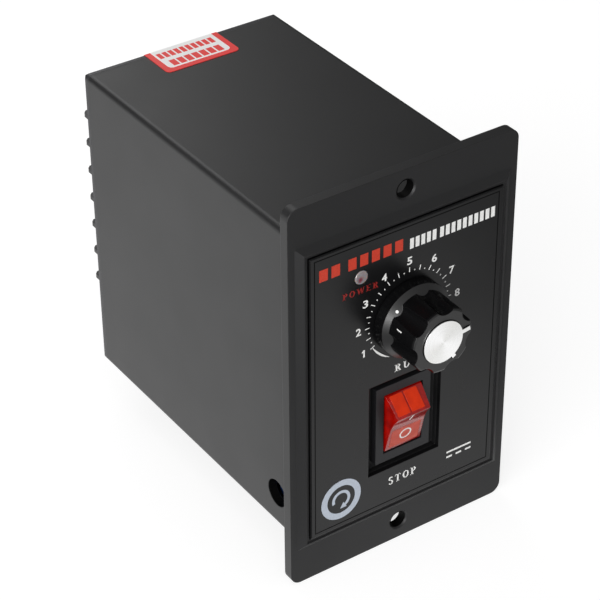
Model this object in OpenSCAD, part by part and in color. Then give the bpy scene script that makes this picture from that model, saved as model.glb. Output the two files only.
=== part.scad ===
// Panel-mounted DC motor speed controller: flanged housing, speed dial, lit rocker switch and terminal strip.
// Millimetres. The origin is the centre of the flange's rear face, the dial faces -Y and +Z is up.

/* [Panel flange] */
// Width of the panel flange
flange_w = 60; // [59:0.5:66]
// Height of the panel flange
flange_h = 100; // [99:0.5:108]
// Thickness of the panel flange
flange_t = 2.6; // [2.2:0.1:3.4]
// Corner radius of the panel flange
flange_r = 2.6; // [1:0.1:4]
// Distance between the two panel screw holes
hole_pitch = 90; // [88:0.5:92]
// Diameter of the panel screw holes
hole_d = 4.2; // [3.2:0.1:4.6]
// Width of the lead-in round the panel screw holes
hole_lead = 0.5; // [0.2:0.1:0.8]

/* [Raised front] */
// Height of the raised front above the flange
plinth_rise = 1.2; // [0.8:0.1:2]
// Width of the sloped border round the raised front
plinth_slope = 1.65; // [1:0.05:2]
// Width of the rim between the sloped border and the label plate
rim_w = 1.1; // [0.8:0.05:1.4]
// Drop from the crest of the border to the rim
rim_step = 0.35; // [0.1:0.05:0.6]
// Width of the label plate
plate_w = 50.6; // [48:0.2:51.4]
// Height of the label plate
plate_h = 74.8; // [74:0.2:76]
// Thickness of the label plate
plate_t = 1.2; // [0.8:0.1:1.6]
// Height of the label plate above the crest of the border
plate_proud = 0.2; // [0.1:0.05:0.4]
// Gap round the label plate
plate_gap = 0.35; // [0.2:0.05:0.5]
// Wall left behind the label plate
seat_t = 1.4; // [1:0.1:1.8]

/* [Body] */
// Width of the body behind the panel
body_w = 53.5; // [52:0.5:55]
// Height of the body behind the panel
body_h = 81.4; // [80:0.2:84]
// Height of the body's centre above the flange's centre
body_z = 0.25; // [0:0.05:1]
// Depth of the body behind the panel, with its rear cover
body_d = 86.6; // [84:0.2:100]
// Outer radius of the body's long edges
body_r = 1.4; // [1:0.1:2]
// Wall thickness of the body
wall = 2.2; // [1.8:0.1:2.6]
// Thickness of the rear cover
cover_t = 2; // [1.6:0.1:2.6]
// Bevel round the rear cover's outer edge
cover_bevel = 0.8; // [0.4:0.1:1.2]
// Diameter of the adjuster hole in the left wall
side_hole_d = 7; // [6:0.1:8]
// Distance of the adjuster hole behind the panel
side_hole_y = 7.7; // [7:0.1:9]
// Height of the adjuster hole, below the flange's centre
side_hole_drop = 31.2; // [29:0.1:32]

/* [Dial] */
// Height of the dial above the flange's centre
dial_z = 14.1; // [13.6:0.1:15]
// Diameter of the knob's skirt
skirt_d = 18.4; // [18:0.1:20]
// Distance from the label plate to the knob's skirt
skirt_gap = 0.5; // [0.3:0.1:1]
// Height of the side of the knob's skirt
skirt_t = 2.8; // [2.4:0.1:3.4]
// Height of the cone on the knob's skirt
cone_h = 2.3; // [1.6:0.1:2.6]
// Diameter over the lobes of the grip, at its foot
grip_d = 16.2; // [15.6:0.1:16.8]
// Height of the grip above the side of the skirt
grip_h = 9.3; // [8.8:0.1:11]
// Number of lobes round the grip
lobes = 7; // [5:1:8]
// Depth of the hollows between the lobes
hollow = 1.4; // [1:0.1:1.7]
// Turn of the knob at rest: angle of its pointer from three o'clock, in degrees
pointer_angle = 8; // [-60:1:240]
// Diameter of the metal disc in the knob's face
disc_d = 10.3; // [9.8:0.1:10.6]
// Diameter of the potentiometer's shaft
shaft_d = 6; // [5.8:0.1:6.2]
// Diameter of the potentiometer's case
pot_d = 24; // [22:0.2:25]

/* [Rocker switch] */
// Drop of the switch's centre below the flange's centre
switch_drop = 14.4; // [14:0.1:16]
// Width of the recess round the switch
pocket_w = 19.8; // [18:0.2:21]
// Height of the recess round the switch
pocket_h = 24.9; // [24:0.1:26]
// Width of the switch's bezel
bezel_w = 15; // [14.8:0.1:15.6]
// Height of the switch's bezel
bezel_h = 21; // [20.8:0.1:22]
// Thickness of the switch's bezel
bezel_t = 2; // [1.8:0.1:2.2]
// Width of the rocker
rocker_w = 10.4; // [9.8:0.1:10.6]
// Radius of the rocker's ends about its pivot
rocker_r = 8; // [7.8:0.1:8.2]
// Turn of the rocker from off to on, in degrees
rocker_turn = 24; // [20:1:26]

/* [Indicator] */
// Diameter of the indicator lamp
led_d = 3.3; // [3:0.1:5]
// Distance of the indicator lamp to the left of the dial's axis
led_left = 12.3; // [12:0.1:14]
// Height of the indicator lamp above the flange's centre
led_z = 28.3; // [28:0.1:30]

/* [Terminal strip] */
// Number of terminals
terminals = 6; // [5:1:7]
// Spacing of the terminals
pitch = 7.79; // [7.5:0.01:8]
// Width of the terminal strip
strip_w = 15; // [14:0.2:17]
// Distance from the body's left side to the strip
strip_inset = 5.8; // [5:0.1:8]
// Height of the strip's centre, below the flange's centre
strip_drop = 0.8; // [0:0.1:6]
// Height of the barriers between the terminals
fin_h = 12.5; // [11.5:0.1:14]
// Thickness of the barriers
fin_t = 1.2; // [1:0.1:1.6]

/* [Hidden] */

$fn = 64;
// Overrun of every cut past the face that it opens
over = 0.5;
// Clearance between fixed pieces that fit inside each other
fit = 0.15;
// Radial clearance of a turning pin or shaft
running = 0.05;
// Gap left between a piece and a neighbour that it only lies beside
seat_gap = 0.3;

// Levels of the front, along Y
crest_y = -flange_t - plinth_rise;
rim_y = crest_y + rim_step;
plate_front_y = crest_y - plate_proud;
plate_back_y = plate_front_y + plate_t;
inner_y = plate_back_y + seat_t;
bezel_front_y = inner_y - bezel_t;

// Outlines of the raised front
rim_edge_w = plate_w + 2 * rim_w;
rim_edge_h = plate_h + 2 * rim_w;
crest_land = 0.25;
crest_w = rim_edge_w + 2 * crest_land;
crest_h = rim_edge_h + 2 * crest_land;
foot_w = crest_w + 2 * plinth_slope;
foot_h = crest_h + 2 * plinth_slope;

// Body shell
tube_back_y = body_d - cover_t;
cavity_w = body_w - 2 * wall;
cavity_h = body_h - 2 * wall;
cavity_r = 0.6;
body_top = body_z + body_h / 2;
body_side = body_w / 2;
cavity_side = cavity_w / 2;
side_hole_z = -side_hole_drop;

// Screw bosses in the body's rear corners
boss_d = 5.4;
boss_l = 14;
boss_sink = 0.5;
boss_x = cavity_side - boss_d / 2 + boss_sink;
boss_z = cavity_h / 2 - boss_d / 2 + boss_sink;
pilot_d = 2.4;
pilot_l = 10;

// Rear cover and its screws
lip_t = 1.4;
lip_depth = 2;
cover_screw_d = 2.9;
cover_screw_l = 9;
cover_hole_d = 3.4;
head_d = 5.4;
head_h = 1.9;
head_slot = 0.8;
head_slot_depth = 0.9;
crown_share = 0.7;

// Seal sticker over the top rear edge
sticker_w = 20;
sticker_top_l = 11.4;
sticker_left = 0.6;
sticker_back_l = 10;
sticker_t = 0.15;
sticker_fold_share = 0.4;

// Switch recess, tray and cut-out
switch_z = -switch_drop;
tray_wall = 1.4;
tray_t = 1.6;
case_w = 12.8;
case_h = 18.8;
case_depth = 12.6;
case_wall = 1;
case_back_y = inner_y + case_depth;
catch_h = 0.5;
catch_l = 3;
pivot_depth = 2.5;
pivot_y = bezel_front_y + pivot_depth;
pivot_d = 2;
pivot_pin_l = 0.75;
opening_w = rocker_w + 2 * fit;
opening_h = 2 * (rocker_r + fit);
// Rocker profile: how far its ridge, valley and ends stand above the bezel, and their places along it
ridge_rise = 4.2;
ridge_up = 3.5;
valley_rise = 1.9;
rocker_taper = 0.75;
rocker_deep = 2.1;
rocker_back = 1.7;
rocker_waist = 3.6;
plunger_d = 2.6;
plunger_l = 6;
plunger_bore_l = 3;
lever_gap = 0.35;
lever_l = 12.4;
lever_w = 3.4;
lever_t = 0.6;
lever_knee = 0.8;
lever_bead_d = 1;
blade_t = 0.8;
blade_w = 4.8;
blade_out = 8;
blade_in = 2.2;
blade_pitch = 6.1;
blade_hole_d = 1.6;
case_floor = 2;
lamp_d = 2.4;
lamp_l = 7;

// Potentiometer and knob
bush_d = 9;
bush_out = 3.2;
bush_front_y = plate_front_y - bush_out;
pot_hole_d = bush_d + 2 * fit;
pot_plate_t = 1.4;
pot_can_t = 0.5;
pot_depth = 10.5;
track_t = 1.5;
track_bore = 10;
track_top = pot_plate_t + track_t;
lug_w = 2.4;
lug_t = 0.5;
lug_l = 7;
lug_pitch = 7.5;
lug_root_share = 0.7;
lug_slot_share = 0.6;
wiper_d = 19;
wiper_t = 1;
wiper_arm = 3;
shaft_tip = 9.8;
shaft_tip_y = plate_front_y - shaft_tip;
shaft_flat = 1.4;
flat_l = 7.5;
collar_d = 9;
collar_t = 1;
washer_t = 0.5;
washer_d = 13;
nut_t = 2;
nut_across = 12;
skirt_back_y = plate_front_y - skirt_gap;
skirt_front_y = skirt_back_y - skirt_t;
face_y = skirt_front_y - grip_h;
grip_draft = 0.15;
face_round = 0.5;
face_soft_share = 0.3;
cone_draft_d = 5.2;
cone_d = skirt_d - cone_draft_d;
skirt_bore_d = 14.6;
skirt_bore_l = 3.5;
hollow_r = 3;
hollow_lean = 5;
insert_d = 9;
insert_l = 7;
cap_sink = 0.9;
cap_proud = 0.35;
bar_w = 1;
bar_tip = 7.2;
nub_tip = 5.85;
nub_turn = -66;
grub_d = 3;
grub_l = 3.2;
grub_y = skirt_front_y - grip_h / 2;

// Indicator
led_x = -led_left;
led_flange_step = 0.5;
led_proud = 0.15;
led_flange_d = led_d + led_flange_step;
led_flange_t = 0.8;
led_body_l = 4.6;
led_wire = 0.5;
led_wire_pitch = 2.54;
led_wire_l = 9;
clip_d = 6.4;
clip_l = 2.4;

// Main board, on edge near the left wall
board_t = 1.6;
board_space = 5.65;
board_left = -cavity_side + board_space;
board_right = board_left + board_t;
board_front_gap = 3.8;
board_front_y = inner_y + board_front_gap;
board_back_gap = 0.3;
board_back_y = tube_back_y - lip_depth - board_back_gap;
// The parts are laid out for this length of board: on another they close up or spread in step with it
board_plan_l = 79.9;
board_share = (board_back_y - board_front_y) / board_plan_l;
board_edge_gap = 0.3;
board_h = cavity_h - 2 * board_edge_gap;
rail_t = 1.2;
rail_h = 2;
rail_gap = 0.15;
rail_front_gap = 14;
rail_end_gap = 1;
rail_front_y = inner_y + rail_front_gap;
rail_back_y = tube_back_y - boss_l - rail_end_gap;

// Adjuster on the board, behind the hole in the left wall
trimmer_w = 9.4;
trimmer_t = 3.9;
trimmer_rotor_d = 4.4;
trimmer_rotor_t = 1.2;
trimmer_sink = 0.6;
trimmer_slot = 0.7;

// Heat sink and what it cools
sink_top_gap = 2.6;
sink_base_t = 2.6;
sink_fin_t = 1.4;
sink_fin_h = 7;
sink_fins = 6;
sink_plan_l = 44;
sink_l = sink_plan_l * board_share;
sink_reach = 34;
sink_y = 30;
sink_z = body_z + cavity_h / 2 - sink_top_gap - sink_fin_h - sink_base_t;
device_w = 10.2;
device_l = 15.6;
device_case_l = 9;
device_tab_t = 1.3;
device_t = 4.5;
device_plan_pitch = 20;
device_pitch = device_plan_pitch * board_share;
device_leg = 0.8;
device_leg_l = 9;
device_leg_pitch = 2.54;
device_hole_d = 3.6;
device_screw_d = 3;
device_screw_l = 5.4;

// Other parts on the board: height over the board, length along Y, height along Z, places
filter_d = 18;
crimp_share = 0.93;
crimp_foot_share = 0.16;
filter_l = 32;
filter_y = 64;
filter_z = -22;
film_plan_l = 18;
film_l = film_plan_l * board_share;
film_h = 8.5;
film_out = 15;
film_y = 44;
film_z = -2;
bridge_w = 19;
bridge_t = 6.4;
bridge_out = 16;
bridge_hole_share = 0.7;
bridge_y = 66;
bridge_z = 10.5;
part_stand = 0.5;
lead_share = 0.4;
core_l = 20;
core_h = 22;
core_leg = 5;
core_middle = 7;
core_reach = 21;
coil_over = 3.5;
core_y = 38;
core_z = -22.5;
resistor_l = 22;
resistor_h = 8;
resistor_out = 8;
resistor_y = 34;
resistor_z = 10;
chip_plan_l = 19.2;
chip_l = chip_plan_l * board_share;
chip_w = 6.4;
chip_t = 3.4;
chip_y = 24;
chip_z = -4;
chip_pins = 7;
chip_pin = 0.5;
chip_pin_plan_pitch = 2.54;
chip_pin_pitch = chip_pin_plan_pitch * board_share;
fuse_d = 5;
fuse_plan_l = 20;
fuse_l = fuse_plan_l * board_share;
fuse_y = 66;
fuse_z = -4;
fuse_stand = 3;
fuse_cap_l = 5;
fuse_clip_t = 0.5;
fuse_clip_l = 4;

// Terminal strip
strip_x = -body_side + strip_inset;
strip_z = -strip_drop;
strip_l = terminals * pitch + fin_t;
strip_base_h = 5;
strip_wall_drop = 2.6;
strip_wall_h = fin_h - strip_wall_drop;
strip_wall_t = 1.4;
fin_bevel = 0.8;
ear_l = 6.5;
ear_t = 3;
ear_hole_d = 3.2;
ear_screw_d = 2.9;
ear_screw_l = 7;
platform_y = body_d + strip_base_h;
screw_place_share = 0.58;
screw_x = strip_x + strip_w * screw_place_share;
term_screw_d = 3.4;
term_screw_l = 4;
term_head_d = 6;
term_head_h = 2;
term_hole_d = 3.8;
tail_t = 0.8;
tail_w = 4.6;
tail_inset = 5.2;
tail_x = strip_x + tail_inset;
tail_foot_gap = 4;
tail_foot_y = tube_back_y - lip_depth - tail_foot_gap;
clamp_w = 6;
clamp_t = 0.8;

// Basic forms

// Rectangle with rounded corners, centred
module round_rect(w, h, r) {
    if (r > 0) {
        square([w - 2 * r, h], center = true);
        square([w, h - 2 * r], center = true);
        for (x = [-1, 1], y = [-1, 1])
            translate([x * (w / 2 - r), y * (h / 2 - r)])
                circle(r = r);
    } else {
        square([w, h], center = true);
    }
}

// Slab in the panel's plane, from level y0 back to level y1
module slab(w, h, y0, y1, r = 0) {
    translate([0, y1, 0])
        rotate([90, 0, 0])
            linear_extrude(y1 - y0)
                round_rect(w, h, r);
}

// Cylinder along Y
module rod(d, y0, y1) {
    translate([0, y1, 0])
        rotate([90, 0, 0])
            cylinder(d = d, h = y1 - y0);
}

// Cone along Y, from diameter d0 at level y0 to diameter d1 at level y1
module cone(d0, d1, y0, y1) {
    translate([0, y1, 0])
        rotate([90, 0, 0])
            cylinder(d1 = d1, d2 = d0, h = y1 - y0);
}

// Cylinder along X
module rod_x(d, x0, x1) {
    translate([x0, 0, 0])
        rotate([0, 90, 0])
            cylinder(d = d, h = x1 - x0);
}

// Box between two corners
module box(x0, x1, y0, y1, z0, z1) {
    translate([x0, y0, z0])
        cube([x1 - x0, y1 - y0, z1 - z0]);
}

// Profile drawn in Y and Z, extruded along X
module prism_x(points, x0, x1) {
    translate([x0, 0, 0])
        rotate([90, 0, 90])
            linear_extrude(x1 - x0)
                polygon(points);
}

// Profile drawn in X and Y, extruded along Z
module prism_z(points, z0, z1) {
    translate([0, 0, z0])
        linear_extrude(z1 - z0)
            polygon(points);
}

// Pan head with a cross slot, standing from level y0 towards +Y
module pan_head(d, h, y0) {
    difference() {
        union() {
            rod(d, y0, y0 + h / 2);
            cone(d, d * crown_share, y0 + h / 2, y0 + h);
        }
        for (turn = [0, 90])
            rotate([0, turn, 0])
                box(-d / 4, d / 4, y0 + h - head_slot_depth, y0 + h + over, -head_slot / 2, head_slot / 2);
    }
}

// Slope of a border, from its foot on the flange to its crest: half a profile mirrored about zero
function border(foot, crest) = [
    [0, -foot / 2], [-flange_t, -foot / 2], [crest_y, -crest / 2],
    [crest_y, crest / 2], [-flange_t, foot / 2], [0, foot / 2]
];

function swapped(points) = [for (p = points) [p[1], p[0]]];

// Places of the four rear screws
module at_bosses() {
    for (x = [-1, 1], z = [-1, 1])
        translate([x * boss_x, 0, body_z + z * boss_z])
            children();
}

// Housing

module plinth() {
    intersection() {
        prism_x(border(foot_h, crest_h), -foot_w / 2, foot_w / 2);
        prism_z(swapped(border(foot_w, crest_w)), -foot_h / 2, foot_h / 2);
    }
}

module housing_shell() {
    difference() {
        union() {
            slab(flange_w, flange_h, -flange_t, 0, flange_r);
            plinth();
            translate([0, 0, body_z])
                slab(body_w, body_h, -flange_t / 2, tube_back_y, body_r);
        }
        translate([0, 0, body_z])
            slab(cavity_w, cavity_h, inner_y, tube_back_y + over, cavity_r);
        slab(rim_edge_w, rim_edge_h, crest_y - over, rim_y);
        slab(plate_w + 2 * plate_gap, plate_h + 2 * plate_gap, crest_y - over, plate_back_y);
        translate([0, 0, switch_z])
            slab(pocket_w, pocket_h, crest_y - over, inner_y + over);
        translate([0, 0, dial_z])
            rod(pot_hole_d, crest_y - over, inner_y + over);
        translate([led_x, 0, led_z])
            rod(led_d + 2 * fit, crest_y - over, inner_y + over);
        for (side = [-1, 1])
            translate([0, 0, side * hole_pitch / 2]) {
                rod(hole_d, -flange_t - over, over);
                cone(hole_d + 2 * hole_lead + 2 * over, hole_d, -flange_t - over, -flange_t + hole_lead);
            }
        translate([0, side_hole_y, side_hole_z])
            rod_x(side_hole_d, -body_side - over, -cavity_side + over);
    }
}

module switch_tray() {
    translate([0, 0, switch_z])
        difference() {
            slab(pocket_w + 2 * tray_wall, pocket_h + 2 * tray_wall, inner_y - seat_t / 2, inner_y + tray_t);
            slab(pocket_w, pocket_h, inner_y - seat_t, inner_y);
            slab(case_w + 2 * fit, case_h + 2 * fit, inner_y - over, inner_y + tray_t + over);
        }
}

module board_rails() {
    for (side = [-1, 1], face = [-1, 1])
        translate([(board_left + board_right) / 2, 0, body_z])
            box(
                face > 0 ? board_t / 2 + rail_gap : -board_t / 2 - rail_gap - rail_t,
                face > 0 ? board_t / 2 + rail_gap + rail_t : -board_t / 2 - rail_gap,
                rail_front_y, rail_back_y,
                side > 0 ? cavity_h / 2 - rail_h : -cavity_h / 2 - wall / 2,
                side > 0 ? cavity_h / 2 + wall / 2 : -cavity_h / 2 + rail_h
            );
}

module housing() {
    color("#333335") {
        difference() {
            union() {
                housing_shell();
                switch_tray();
                board_rails();
                at_bosses()
                    rod(boss_d, tube_back_y - boss_l, tube_back_y);
            }
            at_bosses()
                rod(pilot_d, tube_back_y - pilot_l, tube_back_y + over);
        }
    }
}

module label_plate() {
    color("#2f2f31")
        difference() {
            slab(plate_w, plate_h, plate_front_y, plate_back_y, plate_gap);
            translate([0, 0, switch_z])
                slab(pocket_w, pocket_h, plate_front_y - over, plate_back_y + over);
            translate([0, 0, dial_z])
                rod(pot_hole_d, plate_front_y - over, plate_back_y + over);
            translate([led_x, 0, led_z])
                rod(led_d + 2 * fit, plate_front_y - over, plate_back_y + over);
        }
}

// Rear cover

// Half a profile of the cover with its outer edges bevelled, mirrored about zero
function bevelled(size) = [
    [tube_back_y - over, -size / 2], [body_d - cover_bevel, -size / 2], [body_d, -size / 2 + cover_bevel],
    [body_d, size / 2 - cover_bevel], [body_d - cover_bevel, size / 2], [tube_back_y - over, size / 2]
];

module cover_lips() {
    lip_w = cavity_w - 2 * fit;
    lip_h = cavity_h - 2 * fit;
    short_l = 2 * (boss_x - boss_d / 2 - seat_gap);
    long_l = 2 * (boss_z - boss_d / 2 - seat_gap);
    for (side = [-1, 1]) {
        translate([0, 0, side * (lip_h - lip_t) / 2])
            slab(short_l, lip_t, tube_back_y - lip_depth, tube_back_y + cover_t / 2);
        translate([side * (lip_w - lip_t) / 2, 0, 0])
            slab(lip_t, long_l, tube_back_y - lip_depth, tube_back_y + cover_t / 2);
    }
}

module rear_cover() {
    color("#37373a")
        difference() {
            translate([0, 0, body_z])
                union() {
                    intersection() {
                        slab(body_w, body_h, tube_back_y, body_d, body_r);
                        prism_x(bevelled(body_h), -body_side, body_side);
                        prism_z(swapped(bevelled(body_w)), -body_h / 2, body_h / 2);
                    }
                    cover_lips();
                }
            at_bosses()
                rod(cover_hole_d, tube_back_y - over, body_d + over);
            for (i = [0 : terminals - 1])
                translate([tail_x, 0, terminal_z(i)])
                    slab(tail_t + 2 * seat_gap, tail_w + 2 * seat_gap, tube_back_y - over, body_d + over);
            for (side = [-1, 1])
                translate([screw_x, 0, strip_z + side * ear_z()])
                    rod(pilot_d, tube_back_y - over, body_d + over);
        }
}

module cover_screws() {
    color("#1d1d1f")
        at_bosses() {
            pan_head(head_d, head_h, body_d);
            rod(cover_screw_d - 2 * thread_relief(), body_d - cover_screw_l, body_d);
        }
}

// A self-tapping screw is drawn at its core size, inside its pilot hole
function thread_relief() = (cover_screw_d - pilot_d) / 2 + running;

module seal_sticker() {
    t = sticker_t;
    edge = cover_bevel;
    lip = t * sticker_fold_share;
    color("#d8423a")
        prism_x([
            [body_d - sticker_top_l, body_top], [body_d - edge, body_top], [body_d, body_top - edge],
            [body_d, body_top - sticker_back_l], [body_d + t, body_top - sticker_back_l],
            [body_d + t, body_top - edge + lip], [body_d - edge + lip, body_top + t],
            [body_d - sticker_top_l, body_top + t]
        ], -sticker_w / 2 - sticker_left, sticker_w / 2 - sticker_left);
}

// Knob

// Round hollows between the lobes. Each leans outwards at the foot, so that it fades into the skirt
module hollows() {
    for (i = [0 : lobes - 1])
        rotate([0, -pointer_angle - (i + 0.5) * 360 / lobes, 0])
            translate([grip_d / 2 - hollow + hollow_r, face_y, 0])
                rotate([0, 0, -hollow_lean])
                    rod(2 * hollow_r, -over, grip_h + over);
}

// Turned outline of the grip: drafted flank and a bevelled face edge
module grip_turned() {
    foot = grip_d / 2;
    tip = foot - grip_draft;
    soft = face_round * face_soft_share;
    rotate([90, 0, 0])
        rotate_extrude()
            polygon([
                [0, -skirt_front_y], [foot, -skirt_front_y],
                [tip, -face_y - face_round], [tip - soft, -face_y - soft], [tip - face_round, -face_y],
                [0, -face_y]
            ]);
}

// Turned outline of the skirt: an upright side under a cone
module skirt_turned() {
    rotate([90, 0, 0])
        rotate_extrude()
            polygon([
                [0, -skirt_back_y], [skirt_d / 2, -skirt_back_y], [skirt_d / 2, -skirt_front_y],
                [cone_d / 2, -skirt_front_y + cone_h], [0, -skirt_front_y + cone_h]
            ]);
}

// Pointer bar and nub of the face disc, each widened by gap
module cap_marks(y0, y1, gap) {
    rotate([0, -pointer_angle, 0])
        box(0, bar_tip + gap, y0, y1, -bar_w / 2 - gap, bar_w / 2 + gap);
    rotate([0, -pointer_angle - nub_turn, 0])
        box(0, nub_tip + gap, y0, y1, -bar_w / 2 - gap, bar_w / 2 + gap);
}

module knob() {
    color("#131314")
        translate([0, 0, dial_z])
            difference() {
                union() {
                    skirt_turned();
                    difference() {
                        grip_turned();
                        hollows();
                    }
                }
                rod(skirt_bore_d, skirt_back_y - skirt_bore_l, skirt_back_y + over);
                rod(insert_d + 2 * fit, skirt_back_y - skirt_bore_l - insert_l, skirt_back_y);
                rod(disc_d + 2 * fit, face_y - over, face_y + cap_sink);
                cap_marks(face_y - over, face_y + cap_sink, fit);
                rotate([0, -grub_angle(), 0])
                    translate([0, grub_y, 0])
                        rod_x(grub_d + 2 * fit, 0, skirt_d / 2);
            }
}

// The grub screw lies in a hollow away from the pointer
function grub_angle() = pointer_angle - 2.5 * 360 / lobes;

// Round bore with a flat, widened by gap
module d_bore(y0, y1, gap) {
    difference() {
        rod(shaft_d + 2 * gap, y0, y1);
        rotate([0, -grub_angle(), 0])
            box(shaft_d / 2 - shaft_flat + gap, shaft_d, y0 - over, y1 + over, -shaft_d, shaft_d);
    }
}

module knob_insert() {
    back = skirt_back_y - skirt_bore_l;
    color("#b8913f")
        translate([0, 0, dial_z])
            difference() {
                rod(insert_d, back - insert_l, back);
                d_bore(back - insert_l - over, back + over, fit);
                rotate([0, -grub_angle(), 0])
                    translate([0, grub_y, 0])
                        rod_x(grub_d + 2 * fit, 0, insert_d);
            }
}

module knob_cap() {
    color("#d9d9d6")
        translate([0, 0, dial_z])
            intersection() {
                union() {
                    rod(disc_d, face_y - cap_proud, face_y + cap_sink);
                    cap_marks(face_y - cap_proud, face_y + cap_sink, 0);
                }
                rod(2 * bar_tip + bar_w, face_y - cap_proud, face_y + cap_sink);
            }
}

module knob_screw() {
    start = shaft_d / 2 - shaft_flat + fit;
    socket = grub_d / 2;
    color("#2a2a2c")
        translate([0, grub_y, dial_z])
            rotate([0, -grub_angle(), 0])
                difference() {
                    rod_x(grub_d, start, start + grub_l);
                    translate([start + grub_l / 2, 0, 0])
                        rotate([0, 90, 0])
                            cylinder(d = socket, h = grub_l, $fn = 6);
                }
}

// Potentiometer

module pot_bush() {
    color("#b9b9b4")
        translate([0, 0, dial_z])
            difference() {
                union() {
                    rod(pot_d - 2 * pot_can_t - 2 * fit, inner_y, inner_y + pot_plate_t);
                    rod(bush_d, bush_front_y, inner_y + pot_plate_t);
                }
                rod(shaft_d + 2 * running, bush_front_y - over, inner_y + pot_plate_t + over);
            }
}

module pot_shaft() {
    color("#c9c9c5")
        translate([0, 0, dial_z]) {
            difference() {
                rod(shaft_d, shaft_tip_y, inner_y + pot_depth - pot_can_t - seat_gap);
                rotate([0, -grub_angle(), 0])
                    box(shaft_d / 2 - shaft_flat, shaft_d, shaft_tip_y - over, shaft_tip_y + flat_l, -shaft_d, shaft_d);
            }
            difference() {
                rod(collar_d, inner_y + pot_plate_t + seat_gap / 2, inner_y + pot_plate_t + seat_gap / 2 + collar_t);
                rod(shaft_d / 2, inner_y, inner_y + pot_depth);
            }
        }
}

module pot_wiper() {
    back = inner_y + track_top + seat_gap;
    color("#8a6a3a")
        translate([0, 0, dial_z])
            difference() {
                union() {
                    rod(collar_d, back, back + 2 * wiper_t);
                    intersection() {
                        rod(wiper_d, back, back + wiper_t);
                        rotate([0, -pointer_angle, 0])
                            box(-wiper_d, wiper_d, back, back + wiper_t, -wiper_arm / 2, wiper_arm / 2);
                    }
                }
                rod(shaft_d + 2 * running, back - over, back + 2 * wiper_t + over);
            }
}

module pot_track() {
    front = inner_y + pot_plate_t;
    rim = pot_d / 2 - pot_can_t;
    color("#7a4a24")
        translate([0, 0, dial_z]) {
            difference() {
                rod(pot_d - 2 * pot_can_t - 2 * fit, front, front + track_t);
                rod(track_bore, front - over, front + track_t + over);
            }
            for (i = [-1, 0, 1])
                box(
                    i * lug_pitch - lug_w / 2, i * lug_pitch + lug_w / 2,
                    front + (track_t - lug_t) / 2, front + (track_t + lug_t) / 2,
                    rim * lug_root_share, rim + lug_l
                );
        }
}

module pot_can() {
    front = inner_y + pot_plate_t;
    rim = pot_d / 2 - pot_can_t;
    color("#a8a8a4")
        translate([0, 0, dial_z])
            difference() {
                rod(pot_d, front + seat_gap, inner_y + pot_depth);
                rod(pot_d - 2 * pot_can_t, front, inner_y + pot_depth - pot_can_t);
                box(
                    -lug_pitch - lug_w / 2 - seat_gap, lug_pitch + lug_w / 2 + seat_gap,
                    front - over, front + track_t,
                    rim * lug_slot_share, pot_d
                );
            }
}

module pot_washer() {
    color("#c4c4c0")
        translate([0, 0, dial_z])
            difference() {
                rod(washer_d, plate_front_y - washer_t, plate_front_y);
                rod(bush_d + 2 * fit, plate_front_y - washer_t - over, plate_front_y + over);
            }
}

module pot_nut() {
    back = plate_front_y - washer_t;
    color("#c4c4c0")
        translate([0, 0, dial_z])
            difference() {
                translate([0, back, 0])
                    rotate([90, 0, 0])
                        cylinder(d = nut_across / cos(30), h = nut_t, $fn = 6);
                rod(bush_d + 2 * running, back - nut_t - over, back + over);
            }
}

// Rocker switch

module at_switch() {
    translate([0, pivot_y, switch_z])
        children();
}

module switch_frame() {
    side_gap = (case_w - 2 * case_wall - rocker_w) / 2;
    color("#39393b")
        difference() {
            union() {
                translate([0, 0, switch_z]) {
                    slab(bezel_w, bezel_h, bezel_front_y, inner_y, fit);
                    slab(case_w, case_h, inner_y - bezel_t / 2, case_back_y);
                    for (side = [-1, 1])
                        translate([0, 0, side * case_h / 2])
                            slab(catch_l, 2 * catch_h + 2 * fit, inner_y + tray_t + seat_gap, inner_y + 2 * tray_t);
                }
            }
            translate([0, 0, switch_z]) {
                slab(opening_w, opening_h, bezel_front_y - over, pivot_y + rocker_deep);
                slab(case_w - 2 * case_wall, case_h - 2 * case_wall, pivot_y + rocker_deep - fit, case_back_y - case_floor);
                for (i = [-1, 0, 1])
                    translate([0, 0, i * blade_pitch])
                        slab(blade_w + 2 * fit, blade_t + 2 * fit, case_back_y - 2 * case_floor, case_back_y + over);
            }
            at_switch()
                rod_x(pivot_d + 2 * running, -opening_w / 2 - pivot_pin_l - fit, opening_w / 2 + pivot_pin_l + fit);
        }
}

// Outline of the rocker about its pivot, at rest with its lower half pressed
function rocker_outline() = [
    [-pivot_depth, sqrt(rocker_r * rocker_r - pivot_depth * pivot_depth)],
    [-pivot_depth - ridge_rise, ridge_up],
    [-pivot_depth - valley_rise, 0],
    [-pivot_depth, -sqrt(rocker_r * rocker_r - pivot_depth * pivot_depth)],
    [0, -rocker_r],
    [rocker_back, -rocker_waist],
    [rocker_back, rocker_waist],
    [0, rocker_r]
];

module switch_rocker() {
    lean = atan(rocker_taper / (pivot_depth + ridge_rise));
    half = rocker_w / 2;
    color("#c81e0a")
        at_switch() {
            difference() {
                intersection() {
                    prism_x(rocker_outline(), -half, half);
                    rod_x(2 * rocker_r, -half, half);
                }
                for (side = [-1, 1])
                    translate([side * half, 0, 0])
                        rotate([0, 0, -side * lean])
                            translate([side > 0 ? 0 : -rocker_w, -2 * rocker_r, -2 * rocker_r])
                                cube([rocker_w, 2 * rocker_r, 4 * rocker_r]);
                rotate([rocker_turn / 2, 0, 0])
                    rod(plunger_d + 2 * fit, rocker_back - plunger_bore_l - over, rocker_deep * 2);
            }
            for (side = [-1, 1])
                rod_x(pivot_d, side > 0 ? half - over : -half - pivot_pin_l, side > 0 ? half + pivot_pin_l : -half + over);
        }
}

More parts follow.
